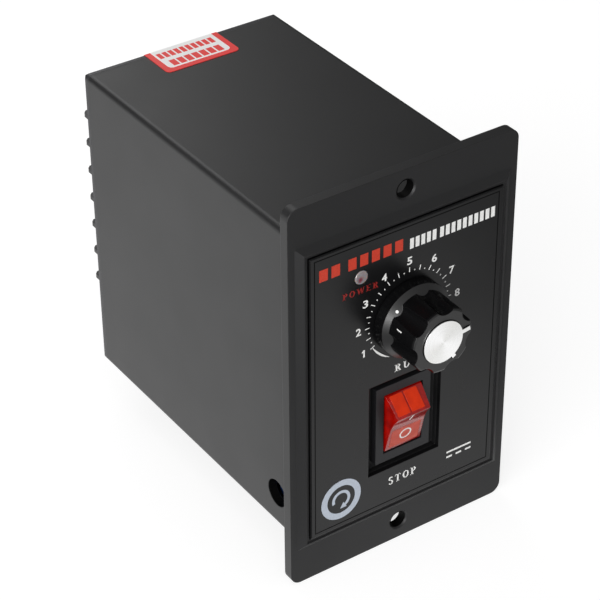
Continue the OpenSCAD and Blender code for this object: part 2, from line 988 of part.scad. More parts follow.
// The sprung plunger that snaps the contact lever over
module switch_plunger() {
    start = rocker_back - plunger_bore_l;
    color("#d8d2c2")
        at_switch()
            rotate([rocker_turn / 2, 0, 0]) {
                rod(plunger_d, start, start + plunger_l - plunger_d / 2);
                translate([0, start + plunger_l - plunger_d / 2, 0])
                    sphere(d = plunger_d);
            }
}

// The contact lever tips under the plunger, about the bead across its middle
lever_y = rocker_back + plunger_l - plunger_bore_l + lever_gap;

module switch_contact() {
    color("#c08a4a")
        at_switch()
            translate([0, lever_y + lever_t / 2, 0])
                rotate([-rocker_turn / 4, 0, 0]) {
                    prism_x([
                        [-lever_knee - lever_t / 2, -lever_l / 2], [lever_t / 2 - lever_knee, -lever_l / 2],
                        [lever_t / 2, 0],
                        [lever_t / 2 - lever_knee, lever_l / 2], [-lever_knee - lever_t / 2, lever_l / 2],
                        [-lever_t / 2, 0]
                    ], -lever_w / 2, lever_w / 2);
                    rod_x(lever_bead_d, -lever_w / 2, lever_w / 2);
                }
}

module switch_terminals() {
    color("#cfcfc8")
        translate([0, 0, switch_z])
            for (i = [-1, 0, 1])
                translate([0, 0, i * blade_pitch])
                    difference() {
                        slab(
                            blade_w, blade_t,
                            i == 0 ? pivot_y + lever_y + lever_t + seat_gap : case_back_y - case_floor - blade_in,
                            case_back_y + blade_out
                        );
                        translate([0, case_back_y + blade_out - blade_w / 2, -blade_t])
                            cylinder(d = blade_hole_d, h = 2 * blade_t);
                    }
}

// Neon lamp beside the contact lever
module switch_lamp() {
    x = case_w / 2 - case_wall - lamp_d / 2 - seat_gap;
    back = case_back_y - case_floor;
    color("#e8b48a")
        translate([x, back - lamp_d / 2, switch_z]) {
            translate([0, 0, -lamp_l / 2])
                cylinder(d = lamp_d, h = lamp_l);
            translate([0, 0, lamp_l / 2])
                sphere(d = lamp_d);
        }
}

// Indicator

module at_led() {
    translate([led_x, 0, led_z])
        children();
}

module led() {
    front = plate_front_y - led_proud;
    color("#d9cfcf")
        at_led() {
            cone(led_d - 2 * led_proud, led_d, front, plate_front_y);
            rod(led_d, plate_front_y, inner_y + led_flange_t);
            rod(led_flange_d, inner_y, inner_y + led_flange_t);
        }
}

module led_clip() {
    color("#1b1b1c")
        at_led()
            difference() {
                rod(clip_d, inner_y, inner_y + clip_l);
                rod(led_flange_d + 2 * fit, inner_y - over, inner_y + led_flange_t);
                rod(led_d, inner_y - over, inner_y + clip_l + over);
            }
}

module led_leads() {
    start = inner_y + led_flange_t;
    color("#d0d0cc")
        at_led()
            for (side = [-1, 1])
                translate([0, 0, side * led_wire_pitch / 2])
                    prism_z([
                        [-led_wire / 2, start], [led_wire / 2, start], [led_wire / 2, start + led_wire_l],
                        [board_right - led_x, start + led_wire_l],
                        [board_right - led_x, start + led_wire_l - led_wire],
                        [-led_wire / 2, start + led_wire_l - led_wire]
                    ], -led_wire / 2, led_wire / 2);
}

// Main board and what it carries

module main_board() {
    color("#2f6b45")
        translate([0, 0, body_z])
            box(board_left, board_right, board_front_y, board_back_y, -board_h / 2, board_h / 2);
}

// Place along Y of a part on the board, given for the board that the parts are laid out for
function along(y) = board_front_y + (y - board_front_y) * board_share;

module at_trimmer() {
    translate([board_left, side_hole_y, side_hole_z])
        children();
}

module trimmer_body() {
    color("#2a62b8")
        at_trimmer()
            difference() {
                box(-trimmer_t, 0, -trimmer_w / 2, trimmer_w / 2, -trimmer_w / 2, trimmer_w / 2);
                rod_x(trimmer_rotor_d + 2 * running, -trimmer_t - over, -trimmer_t + trimmer_sink + running);
            }
}

module trimmer_rotor() {
    face = -trimmer_t + trimmer_sink;
    color("#e6e2d6")
        at_trimmer()
            difference() {
                rod_x(trimmer_rotor_d, face - trimmer_rotor_t, face);
                box(
                    face - trimmer_rotor_t - over, face - trimmer_rotor_t / 2,
                    -trimmer_slot / 2, trimmer_slot / 2, -trimmer_rotor_d, trimmer_rotor_d
                );
            }
}

module heat_sink() {
    x0 = board_right + seat_gap;
    fin_step = (sink_reach - sink_fin_t) / (sink_fins - 1);
    color("#a9abac")
        translate([0, along(sink_y), sink_z])
            difference() {
                union() {
                    box(x0, x0 + sink_reach, 0, sink_l, 0, sink_base_t);
                    for (i = [0 : sink_fins - 1])
                        box(
                            x0 + i * fin_step, x0 + i * fin_step + sink_fin_t,
                            0, sink_l, sink_base_t / 2, sink_base_t + sink_fin_h
                        );
                }
                for (side = [-1, 1])
                    translate([device_screw_x(), sink_l / 2 + side * device_pitch / 2, -over])
                        cylinder(d = device_screw_d + 2 * running, h = sink_base_t + 2 * over);
            }
}

function device_screw_x() = board_right + device_leg_l + device_l - device_hole_d;

module at_devices() {
    for (side = [-1, 1])
        translate([board_right, along(sink_y) + sink_l / 2 + side * device_pitch / 2, sink_z])
            children();
}

module power_devices() {
    tab = device_l - device_case_l;
    color("#202022")
        at_devices() {
            difference() {
                union() {
                    box(device_leg_l, device_leg_l + device_case_l, -device_w / 2, device_w / 2, -device_t, 0);
                    box(device_leg_l, device_leg_l + device_l, -device_w / 2, device_w / 2, -device_tab_t, 0);
                }
                translate([device_leg_l + device_l - device_hole_d, 0, -device_t])
                    cylinder(d = device_hole_d, h = 2 * device_t);
            }
            for (i = [-1, 0, 1])
                box(
                    0, device_leg_l, i * device_leg_pitch - device_leg / 2, i * device_leg_pitch + device_leg / 2,
                    -device_t / 2 - device_leg / 2, -device_t / 2 + device_leg / 2
                );
        }
}

module device_screws() {
    color("#c9c9c6")
        at_devices()
            translate([device_leg_l + device_l - device_hole_d, 0, -device_tab_t])
                rotate([-90, 0, 0]) {
                    pan_head(head_d, head_h, 0);
                    rod(device_screw_d - 2 * fit, -device_screw_l + device_tab_t, 0);
                }
}

module bridge_rectifier() {
    x0 = board_right + 2 * part_stand;
    color("#232325")
        translate([0, along(bridge_y), bridge_z]) {
            difference() {
                box(x0, x0 + bridge_out, -bridge_t / 2, bridge_t / 2, -bridge_w / 2, bridge_w / 2);
                translate([x0 + bridge_out * bridge_hole_share, bridge_t, 0])
                    rotate([90, 0, 0])
                        cylinder(d = device_hole_d, h = 2 * bridge_t);
            }
            for (i = [-1.5, -0.5, 0.5, 1.5])
                translate([0, 0, i * bridge_w / 4])
                    rod_x(device_leg, board_right, x0);
        }
}

module filter_capacitor() {
    x0 = board_right + part_stand;
    crimp = filter_d * crimp_share;
    crimp_x = x0 + filter_d * crimp_foot_share;
    color("#1f2f66")
        translate([0, along(filter_y), filter_z]) {
            rod_x(filter_d, x0, crimp_x);
            rod_x(crimp, crimp_x, crimp_x + 2 * part_stand);
            rod_x(filter_d, crimp_x + 2 * part_stand, x0 + filter_l);
            for (side = [-1, 1])
                translate([0, side * filter_d / 5, 0])
                    rod_x(device_leg, board_right, x0);
        }
}

module film_capacitor() {
    x0 = board_right + part_stand;
    color("#c8a63c")
        translate([0, along(film_y), film_z]) {
            box(x0, x0 + film_out, -film_l / 2, film_l / 2, -film_h / 2, film_h / 2);
            for (side = [-1, 1])
                translate([0, side * film_l * lead_share, 0])
                    rod_x(device_leg, board_right, x0);
        }
}

module at_core() {
    translate([board_right + part_stand, along(core_y), core_z])
        children();
}

module transformer_core() {
    window = (core_l - core_middle - core_leg) / 2;
    color("#6d6f72")
        at_core() {
            difference() {
                box(0, core_reach, -core_l / 2, core_l / 2, -core_h / 2, core_h / 2);
                for (side = [-1, 1])
                    translate([0, side * (core_middle + window) / 2, 0])
                        box(core_leg, core_reach - core_leg, -window / 2, window / 2, -core_h, core_h);
            }
            for (y = [-1, 1], z = [-1, 1])
                translate([0, y * core_l / 3, z * core_h / 3])
                    rod_x(device_leg, -part_stand, 0);
        }
}

// Wound bobbin round the core's middle leg
module transformer_winding() {
    window = (core_l - core_middle - core_leg) / 2;
    outer = core_middle / 2 + window - seat_gap;
    inner = core_middle / 2 + fit;
    color("#b0702c")
        at_core()
            difference() {
                box(
                    core_leg + seat_gap, core_reach - core_leg - seat_gap, -outer, outer,
                    -core_h / 2 - coil_over, core_h / 2 + coil_over
                );
                box(core_leg, core_reach - core_leg, -inner, inner, -core_h / 2 - fit, core_h / 2 + fit);
            }
}

module power_resistor() {
    x0 = board_right + 4 * part_stand;
    color("#e4e0d4")
        translate([0, along(resistor_y), resistor_z]) {
            box(x0, x0 + resistor_out, -resistor_l / 2, resistor_l / 2, -resistor_h / 2, resistor_h / 2);
            for (side = [-1, 1])
                translate([0, side * resistor_l * lead_share, 0])
                    rod_x(device_leg, board_right, x0);
        }
}

module control_chip() {
    x0 = board_right + part_stand;
    color("#1c1c1e")
        translate([0, along(chip_y), chip_z]) {
            difference() {
                box(x0, x0 + chip_t, -chip_l / 2, chip_l / 2, -chip_w / 2, chip_w / 2);
                translate([0, -chip_l / 2, 0])
                    rod_x(chip_w / 4, x0 + chip_t / 2, x0 + 2 * chip_t);
            }
            for (i = [0 : chip_pins - 1], side = [-1, 1])
                translate([0, (i - (chip_pins - 1) / 2) * chip_pin_pitch, side * chip_w / 2])
                    box(board_right, x0 + chip_t / 2, -chip_pin / 2, chip_pin / 2, -chip_pin / 2, chip_pin / 2);
        }
}

module at_fuse() {
    translate([board_right + fuse_stand + fuse_d / 2, along(fuse_y), fuse_z])
        children();
}

module fuse() {
    color("#cfd4d2")
        at_fuse() {
            rod(fuse_d - 2 * fit, -fuse_l / 2 + fuse_cap_l, fuse_l / 2 - fuse_cap_l);
            for (side = [-1, 1])
                translate([0, side * (fuse_l - fuse_cap_l) / 2, 0])
                    rod(fuse_d, -fuse_cap_l / 2, fuse_cap_l / 2);
        }
}

module fuse_clips() {
    outer = fuse_d + 2 * fuse_clip_t;
    color("#c2c2bc")
        at_fuse()
            for (side = [-1, 1])
                translate([0, side * (fuse_l - fuse_cap_l) / 2, 0])
                    difference() {
                        union() {
                            rod(outer, -fuse_clip_l / 2, fuse_clip_l / 2);
                            box(
                                -fuse_d / 2 - fuse_stand, -fuse_d / 2, -fuse_clip_l / 2, fuse_clip_l / 2,
                                -fuse_d / 4, fuse_d / 4
                            );
                        }
                        rod(fuse_d + 2 * running, -fuse_clip_l, fuse_clip_l);
                        box(fuse_d / 4, fuse_d, -fuse_clip_l, fuse_clip_l, -fuse_d, fuse_d);
                    }
}

// Terminal strip

function terminal_z(i) = strip_z + (i - (terminals - 1) / 2) * pitch;
function ear_z() = strip_l / 2 + ear_l / 2;

module terminal_block() {
    x1 = strip_x + strip_w;
    color("#1c1c1e")
        difference() {
            union() {
                box(strip_x, x1, body_d, platform_y, strip_z - strip_l / 2, strip_z + strip_l / 2);
                box(
                    strip_x, strip_x + strip_wall_t, body_d, body_d + strip_wall_h,
                    strip_z - strip_l / 2, strip_z + strip_l / 2
                );
                for (i = [0 : terminals])
                    translate([0, 0, strip_z + (i - terminals / 2) * pitch - fin_t / 2])
                        linear_extrude(fin_t)
                            polygon([
                                [strip_x, body_d], [x1, body_d], [x1, body_d + fin_h - 2 * fin_bevel],
                                [x1 - 2 * fin_bevel, body_d + fin_h], [strip_x + fin_bevel, body_d + fin_h],
                                [strip_x, body_d + fin_h - fin_bevel]
                            ]);
                box(
                    strip_x + strip_wall_t, x1 - strip_wall_t, body_d, body_d + ear_t,
                    strip_z - strip_l / 2 - ear_l, strip_z + strip_l / 2 + ear_l
                );
            }
            for (i = [0 : terminals - 1]) {
                translate([screw_x, 0, terminal_z(i)])
                    rod(term_screw_d + 2 * fit, platform_y - term_screw_l - seat_gap, platform_y + over);
                translate([tail_x, 0, terminal_z(i)])
                    slab(tail_t + 2 * fit, tail_w + 2 * fit, body_d - over, platform_y + over);
            }
            for (side = [-1, 1])
                translate([screw_x, 0, strip_z + side * ear_z()])
                    rod(ear_hole_d, body_d - over, body_d + ear_t + over);
        }
}

module terminal_screws() {
    seat = platform_y + tail_t + clamp_t;
    color("#c7c7c2")
        for (i = [0 : terminals - 1])
            translate([screw_x, 0, terminal_z(i)]) {
                pan_head(term_head_d, term_head_h, seat);
                rod(term_screw_d, platform_y - term_screw_l, seat);
            }
}

module terminal_clamps() {
    seat = platform_y + tail_t;
    color("#c9c3ae")
        for (i = [0 : terminals - 1])
            translate([screw_x, 0, terminal_z(i)])
                difference() {
                    slab(clamp_w, clamp_w, seat, seat + clamp_t, fit);
                    rod(term_hole_d, seat - over, seat + clamp_t + over);
                }
}

// Each tail runs from its screw through the cover to the edge of the board
module terminal_tails() {
    left = tail_x - tail_t / 2;
    right = tail_x + tail_t / 2;
    reach = screw_x + clamp_w / 2;
    color("#c8b26a")
        for (i = [0 : terminals - 1])
            difference() {
                prism_z([
                    [left, platform_y + tail_t], [left, tail_foot_y + tail_t], [board_right, tail_foot_y + tail_t],
                    [board_right, tail_foot_y], [right, tail_foot_y], [right, platform_y],
                    [reach, platform_y], [reach, platform_y + tail_t]
                ], terminal_z(i) - tail_w / 2, terminal_z(i) + tail_w / 2);
                translate([screw_x, 0, terminal_z(i)])
                    rod(term_hole_d, platform_y - over, platform_y + tail_t + over);
            }
}

module strip_screws() {
    color("#1d1d1f")
        for (side = [-1, 1])
            translate([screw_x, 0, strip_z + side * ear_z()]) {
                pan_head(head_d, head_h, body_d + ear_t);
                rod(ear_screw_d - 2 * thread_relief(), body_d + ear_t - ear_screw_l, body_d + ear_t);
            }
}

housing();
label_plate();
rear_cover();
cover_screws();
seal_sticker();
knob();
knob_insert();
knob_cap();
knob_screw();
pot_bush();
pot_shaft();
pot_wiper();
pot_track();
pot_can();
pot_washer();
pot_nut();
switch_frame();
switch_rocker();
switch_plunger();
switch_contact();
switch_terminals();
switch_lamp();
led();
led_clip();
led_leads();
main_board();
trimmer_body();
trimmer_rotor();
heat_sink();
power_devices();
device_screws();
bridge_rectifier();
filter_capacitor();
film_capacitor();
transformer_core();
transformer_winding();
power_resistor();
control_chip();
fuse();
fuse_clips();
terminal_block();
terminal_screws();
terminal_clamps();
terminal_tails();
strip_screws();
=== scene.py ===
import logging
import math
from dataclasses import dataclass, field
from enum import Enum
from functools import cache

import bmesh
import bpy
from mathutils import Matrix, Vector


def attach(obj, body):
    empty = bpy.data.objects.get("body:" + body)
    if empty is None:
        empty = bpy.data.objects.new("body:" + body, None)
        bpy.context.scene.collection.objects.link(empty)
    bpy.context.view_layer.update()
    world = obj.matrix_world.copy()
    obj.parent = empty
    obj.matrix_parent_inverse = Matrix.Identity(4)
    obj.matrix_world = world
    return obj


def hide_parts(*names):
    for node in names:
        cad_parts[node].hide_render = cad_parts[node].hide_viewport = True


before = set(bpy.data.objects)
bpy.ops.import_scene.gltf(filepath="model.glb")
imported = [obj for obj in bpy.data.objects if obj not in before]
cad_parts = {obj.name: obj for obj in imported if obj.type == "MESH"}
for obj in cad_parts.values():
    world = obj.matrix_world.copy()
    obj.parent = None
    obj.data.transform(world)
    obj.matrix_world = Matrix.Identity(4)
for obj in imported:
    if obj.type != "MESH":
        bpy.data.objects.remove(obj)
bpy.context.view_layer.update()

LOG = logging.getLogger("speed_controller")
MM = 0.001
# Thickness of a layer of screen-printed ink, drawn thick enough to stand clear of the plate
INK = 0.03

Point = tuple[float, float]
Box = tuple[float, float, float, float]
Ring = list[Point]
Socket = bpy.types.NodeSocket
Tree = bpy.types.NodeTree
Material = bpy.types.Material
Mesh = bmesh.types.BMesh


class Body(Enum):
    """The bodies that the scene's own pieces ride on."""

    CASE = "case"
    DIAL = "dial"
    ROCKER = "rocker"


class Grain(Enum):
    """How the skin of a moulded piece was made in its tool."""

    SPARKED = "sparked"
    POLISHED = "polished"


# Colour and node helpers


def linear(code: str) -> tuple[float, float, float, float]:
    """Turn the six hex digits of an sRGB colour into linear light, with an alpha of one."""
    parts = [int(code[i : i + 2], 16) / 255 for i in (1, 3, 5)]
    return (*[c / 12.92 if c <= 0.04045 else ((c + 0.055) / 1.055) ** 2.4 for c in parts], 1.0)


def add(tree: Tree, kind: str, inputs: dict | None = None, **settings: object) -> bpy.types.Node:
    """Add a node with its settings and links.

    Args:
        tree: The node tree that gets it.
        kind: The node's type, without its ShaderNode prefix.
        inputs: What each input takes, by name or number: a value, or the socket linked to it.
        settings: The node's own settings.

    Returns:
        The new node.
    """
    node = tree.nodes.new("ShaderNode" + kind)
    for key, value in settings.items():
        setattr(node, key, value)
    for key, value in (inputs or {}).items():
        if isinstance(value, Socket):
            tree.links.new(value, node.inputs[key])
        else:
            node.inputs[key].default_value = value
    return node


def maths(tree: Tree, operation: str, *values: Socket | float) -> Socket:
    """Arithmetic on sockets and plain numbers."""
    return add(tree, "Math", dict(enumerate(values)), operation=operation).outputs[0]


def map_range(tree: Tree, value: Socket, start: float, end: float, low: float, high: float) -> Socket:
    """Map a value that runs from start to end onto low to high."""
    return add(tree, "MapRange", dict(enumerate((value, start, end, low, high)))).outputs[0]


def blank(owner: Material | bpy.types.World) -> Tree:
    """Empty the node tree of a new material or world.

    Args:
        owner: The material or world.

    Returns:
        Its tree.
    """
    owner.use_nodes = True
    owner.node_tree.nodes.clear()
    return owner.node_tree


class Recipe:
    """A material's node tree, with its principled shader and its place in the part's frame."""

    def __init__(self, name: str) -> None:
        """Start an empty material.

        Args:
            name: The material's name.
        """
        self.material = bpy.data.materials.new(name)
        self.tree = blank(self.material)
        self.shader = add(self.tree, "BsdfPrincipled")
        add(self.tree, "OutputMaterial", {"Surface": self.shader.outputs[0]})
        self.place = add(self.tree, "TexCoord").outputs["Object"]

    def set(self, **values: float | tuple) -> None:
        """Set sockets of the shader, named with underscores for spaces."""
        for key, value in values.items():
            self.shader.inputs[key.replace("_", " ")].default_value = value

    def noise(self, size_mm: float, layers: int, stretch: tuple = (1, 1, 1)) -> Socket:
        """Noise in the part's frame.

        Args:
            size_mm: How wide its features are.
            layers: How many finer layers they have.
            stretch: How the frame is first scaled along X, Y and Z.

        Returns:
            The noise, mostly between 0.3 and 0.7.
        """
        place = add(self.tree, "Mapping", {"Vector": self.place, "Scale": stretch}).outputs[0]
        scale = 1 / (size_mm * MM)
        return add(self.tree, "TexNoise", {"Vector": place, "Scale": scale, "Detail": layers}).outputs[0]

    def spread(self, value: Socket, low: float, high: float, start: float = 0.3, end: float = 0.7) -> Socket:
        """Map a value onto low to high. Noise runs from 0.3 to 0.7."""
        return map_range(self.tree, value, start, end, low, high)

    def vector(self, operation: str, *values: Socket | tuple) -> Socket:
        """Vector arithmetic on sockets and plain vectors."""
        node = add(self.tree, "VectorMath", dict(enumerate(values)), operation=operation)
        return node.outputs["Value" if operation in ("LENGTH", "DOT_PRODUCT") else "Vector"]

    def tint(self, factor: Socket, first: str, second: str) -> Socket:
        """Mix two colours.

        Args:
            factor: How much of the second there is.
            first: The first colour in hex digits.
            second: The second colour in hex digits.

        Returns:
            The mixed colour.
        """
        node = add(self.tree, "Mix", {"Factor": factor}, data_type="RGBA")
        node.inputs[6].default_value = linear(first)
        node.inputs[7].default_value = linear(second)
        return node.outputs[2]

    def rounded(self, radius_mm: float) -> Socket:
        """Normals rounded over the edges, as a mould's corners are."""
        return add(self.tree, "Bevel", {"Radius": radius_mm * MM}, samples=6).outputs[0]

    def edges(self, normal: Socket) -> Socket:
        """One on flat ground, falling towards each edge, where the rounded normals leave the plain ones."""
        return self.vector("DOT_PRODUCT", normal, add(self.tree, "NewGeometry").outputs["Normal"])

    def front(self, start: float, band: float = 0.17) -> Socket:
        """One on faces that look to the front and zero on others, rising over a band from a start."""
        share = self.vector("DOT_PRODUCT", add(self.tree, "NewGeometry").outputs["Normal"], (0, -1, 0))
        return self.spread(share, 0, 1, start, start + band)

    def relief(self, height: Socket, depth_mm: float, normal: Socket | None = None) -> Socket:
        """Bump of a real depth.

        Args:
            height: Its height, from 0 to 1.
            depth_mm: What a height of 1 stands for.
            normal: The normals that it lies over, if not the plain ones.

        Returns:
            The bumped normals.
        """
        sockets = {"Height": height, "Distance": depth_mm * MM, "Strength": 1.0}
        if normal is not None:
            sockets["Normal"] = normal
        return add(self.tree, "Bump", sockets).outputs[0]

    def plug(self, **sockets: Socket) -> None:
        """Link sockets into the shader, named with underscores for spaces."""
        for key, value in sockets.items():
            self.tree.links.new(value, self.shader.inputs[key.replace("_", " ")])


# Finishes


@dataclass(frozen=True)
class Finish:
    """A material by its name and its main colour."""

    name: str
    colour: str

    def fill(self, r: Recipe) -> None:
        """Lay out its nodes, in each kind of finish."""
        raise NotImplementedError


@dataclass(frozen=True)
class MouldedAbs(Finish):
    """Injection-moulded plastic: an even, fine grain with softly rounded edges, which take a second colour that is
    partly wear and partly a painted highlight.

    The tool's front half is often sparked coarser, so the front faces can be duller than the sides.
    """

    rubbed: str
    roughness: float = 0.42
    shine: float = 0.5
    front_shine: float | None = None
    front_roughness: float = 0.6
    front_from: float = 0.8
    slope_from: float = 0.55
    grain: Grain = Grain.SPARKED
    grain_mm: float = 0.35
    grain_depth_mm: float = 0.006
    patch_mm: float = 14.0
    edge_mm: float = 0.3

    def fill(self, r: Recipe) -> None:
        """Lay out its nodes.

        Args:
            r: Its material's recipe.
        """
        # The real grain is near 0.1 mm: it is drawn three times as coarse so that it shows
        grain = r.noise(self.grain_mm, 3)
        # Flow of the melt leaves broad, faint patches of gloss
        patches = r.noise(self.patch_mm, 2)
        edge = r.rounded(self.edge_mm)
        # Partly wear and partly a painted highlight: the second colour lies on the rounded edges
        wear_and_highlight_mask = r.spread(r.edges(edge), 1, 0, start=0.8, end=0.99)
        # A polished tool leaves a fifth of the grain
        deep = self.grain_depth_mm if self.grain is Grain.SPARKED else self.grain_depth_mm / 5
        gloss = r.spread(patches, self.roughness - 0.01, self.roughness + 0.015)
        r.set(IOR=1.53, Specular_IOR_Level=self.shine)
        if self.front_shine is not None:
            r.plug(Specular_IOR_Level=r.spread(r.front(self.slope_from), self.shine, self.front_shine, start=0, end=1))
            dull = self.front_roughness - self.roughness
            gloss = maths(r.tree, "MULTIPLY_ADD", r.front(self.front_from), dull, gloss)
        r.plug(Base_Color=r.tint(wear_and_highlight_mask, self.colour, self.rubbed), Roughness=gloss, Normal=r.relief(grain, deep, edge))


@dataclass(frozen=True)
class Layered(Finish):
    """A finish whose colour and gloss change over patches, with a relief that is finer or follows them."""

    second: str
    roughness: float
    patch_mm: float
    stretch: tuple = (1, 1, 1)
    layers: int = 3
    # The second colour's share and the change of roughness, at the noise's low end and at its high end
    shares: Point = (0, 1)
    swing: Point = (0, 0)
    # The finer relief: without one, the relief follows the patches
    fine_mm: float | None = None
    fine_layers: int = 2
    depth_mm: float = 0.02
    edge_mm: float = 0.15
    shine: float = 0.5
    ior: float = 1.5
    metallic: float = 0.0

    def fill(self, r: Recipe) -> None:
        """Lay out its nodes.

        Args:
            r: Its material's recipe.
        """
        if self.fine_mm:
            patches, relief = r.noise(self.patch_mm, self.layers), r.noise(self.fine_mm, self.fine_layers, self.stretch)
        else:
            patches = relief = r.noise(self.patch_mm, self.layers, self.stretch)
        low, high = (self.roughness + change for change in self.swing)
        r.plug(
            Base_Color=r.tint(r.spread(patches, *self.shares), self.colour, self.second),
            Roughness=r.spread(patches, low, high),
            Normal=r.relief(relief, self.depth_mm, r.rounded(self.edge_mm) if self.edge_mm else None),
        )
        r.set(IOR=self.ior, Specular_IOR_Level=self.shine, Metallic=self.metallic)


@dataclass(frozen=True)
class PrintedFilm(Layered):
    """Polycarbonate overlay film: a satin skin with a fine pebble that mirrors softly."""

    patch_mm: float = 9.0
    swing: Point = (-0.01, 0.02)
    fine_mm: float = 0.3
    depth_mm: float = 0.0022
    edge_mm: float = 0.2
    shine: float = 0.205
    ior: float = 1.58


@dataclass(frozen=True)
class ScreenInk(Layered):
    """Screen-printed ink: opaque, slightly matt, and uneven where the mesh left it thin."""

    roughness: float = 0.55
    patch_mm: float = 0.3
    layers: int = 2
    shares: Point = (0.5, 0)
    depth_mm: float = 0.004
    edge_mm: float = 0.0


@dataclass(frozen=True)
class Vinyl(Layered):
    """Printed vinyl film: an even colour under a thin gloss, with a slight ripple."""

    roughness: float = 0.42
    patch_mm: float = 4.0
    layers: int = 2
    shares: Point = (0, 0.6)
    edge_mm: float = 0.0


@dataclass(frozen=True)
class PlatedMetal(Layered):
    """Plated or turned metal: a bright skin with dull spots, finely scored along one way."""

    patch_mm: float = 1.6
    stretch: tuple = (1, 12, 1)
    swing: Point = (-0.06, 0.1)
    fine_mm: float = 0.9
    depth_mm: float = 0.006
    edge_mm: float = 0.12
    metallic: float = 1.0


@dataclass(frozen=True)
class ClearPolycarbonate(Layered):
    """Tinted polycarbonate, moulded and polished: light goes in and glows through the wall."""

    roughness: float = 0.16
    patch_mm: float = 2.2
    layers: int = 2
    swing: Point = (-0.03, 0.05)
    fine_mm: float = 0.8
    fine_layers: int = 1
    depth_mm: float = 0.003
    ior: float = 1.58
    transmission: float = 0.25
    glow: float = 0.0
    coat: float = 0.0
    coat_roughness: float = 0.08

    def fill(self, r: Recipe) -> None:
        """Lay out its nodes, and let the light in."""
        super().fill(r)
        r.set(
            Transmission_Weight=self.transmission, Coat_Weight=self.coat, Coat_Roughness=self.coat_roughness,
            Emission_Color=linear(self.colour), Emission_Strength=self.glow,
        )


@dataclass(frozen=True)
class SpunAluminium(Finish):
    """Aluminium disc, spun against a tool: fine rings, with a painted reflection across them in pale and shaded wedges.
    """

    # The colour of the painted shade in the darker wedges
    dull: str
    centre: tuple[float, float, float]
    roughness: float = 0.22
    rings_a_mm: float = 3.0
    ring_depth_mm: float = 0.004
    edge_mm: float = 0.1

    def fill(self, r: Recipe) -> None:
        """Lay out its nodes.

        Args:
            r: Its material's recipe.
        """
        around = r.vector("CROSS_PRODUCT", r.vector("SUBTRACT", r.place, tuple(c * MM for c in self.centre)), (0, 1, 0))
        # The tool leaves about six rings a millimetre: they are drawn three a millimetre so that they show
        far = add(r.tree, "CombineXYZ", {0: r.vector("LENGTH", around)}).outputs[0]
        groove = add(r.tree, "TexNoise", {"Vector": far, "Scale": self.rings_a_mm / MM, "Detail": 2.0}).outputs[0]
        # Painted reflection: the product is least along one diagonal of the disc and greatest along the other, so one
        # pair of wedges takes a painted shade and the other stays pale
        way = add(r.tree, "SeparateXYZ", {0: r.vector("NORMALIZE", around)}).outputs
        painted_reflection = maths(r.tree, "MULTIPLY", way["X"], way["Z"])
        r.plug(
            Base_Color=r.tint(r.spread(painted_reflection, 0, 1, start=-0.5, end=0.5), self.dull, self.colour),
            Tangent=around,
            Roughness=r.spread(groove, self.roughness - 0.04, self.roughness + 0.08),
            Normal=r.relief(groove, self.ring_depth_mm, r.rounded(self.edge_mm)),
        )
        r.set(Metallic=1.0, Anisotropic=0.7)


@dataclass(frozen=True)
class LampResin(Finish):
    """Cast epoxy of an indicator lamp: milky, with the chip's reflector glimmering inside."""

    core: str
    core_centre: tuple[float, float, float]
    core_mm: float = 0.9
    edge_mm: float = 0.25

    def fill(self, r: Recipe) -> None:
        """Lay out its nodes.

        Args:
            r: Its material's recipe.
        """
        arm = r.vector("SUBTRACT", r.place, tuple(c * MM for c in self.core_centre))
        far = r.vector("LENGTH", r.vector("MULTIPLY", arm, (1, 0, 1)))
        inside = r.spread(far, 1, 0, start=self.core_mm * 0.3 * MM, end=self.core_mm * MM)
        r.plug(Base_Color=r.tint(inside, self.colour, self.core), Normal=r.rounded(self.edge_mm))
        r.set(Roughness=0.2, IOR=1.53, Subsurface_Weight=0.4, Subsurface_Scale=0.001, Coat_Weight=0.5)


@dataclass(frozen=True)
class Glass(Finish):
    """Drawn glass tube: clear, thin and slightly wavy."""

    wave_mm: float = 2.0
    wave_depth_mm: float = 0.01

    def fill(self, r: Recipe) -> None:
        """Lay out its nodes."""
        r.plug(Normal=r.relief(r.noise(self.wave_mm, 1), self.wave_depth_mm))
        r.set(Base_Color=linear(self.colour), Roughness=0.03, IOR=1.5, Transmission_Weight=0.9)


# The case: charcoal with an even sheen, duller on its front, and painted shade lining its holes
CASE_ABS = MouldedAbs(
    "abs_sparked_charcoal", "#151516", "#131314", roughness=0.44, shine=0.53, front_shine=0.32
)
PAINTED_HOLE_SHADE = MouldedAbs("hole_shade_painted", "#060606", "#080808", roughness=0.6, shine=0.05)
COVER_ABS = MouldedAbs("abs_sparked_cover", "#262629", "#2c2c30", roughness=0.4, shine=0.5)
# The front: a near-black satin film, with a thin dark line of painted shade round it that has no gloss
FRONT_FILM = PrintedFilm("polycarbonate_film_black", "#0e0e0f", "#121213", 0.28)
PAINTED_SHADE_INK = ScreenInk("painted_shade_line", "#060606", "#0b0b0b", shine=0.05)
# The knob: black flanks that swallow light, under a paler sheen on the faces that look to the front
KNOB_ABS = MouldedAbs(
    "abs_polished_black", "#0a0a0b", "#121213", roughness=0.27, shine=0.08, front_shine=0.5,
    front_roughness=0.34, front_from=0.5, grain=Grain.POLISHED, edge_mm=0.25
)
# Plain mouldings: the bezel's matt grey, and the strip's and the board's plastics
BEZEL_NYLON = MouldedAbs("nylon_moulded_grey", "#1b1b1d", "#262628", roughness=0.42, shine=0.2, edge_mm=0.2)
BLACK_PHENOLIC = MouldedAbs("phenolic_moulded_black", "#161617", "#262628", roughness=0.4, edge_mm=0.2)
NATURAL_NYLON = MouldedAbs("nylon_moulded_natural", "#d8d2c2", "#e4e0d4", roughness=0.4, edge_mm=0.15)
BLUE_PBT = MouldedAbs("pbt_moulded_blue", "#163c7a", "#2c5698", roughness=0.3, edge_mm=0.15)
BLUE_SLEEVE = MouldedAbs("pvc_shrunk_blue", "#1b2c63", "#2a3d78", roughness=0.25, edge_mm=0.4)
YELLOW_FILM = MouldedAbs("polyester_wrapped_yellow", "#c8a63c", "#d6b95c", roughness=0.35, edge_mm=0.3)
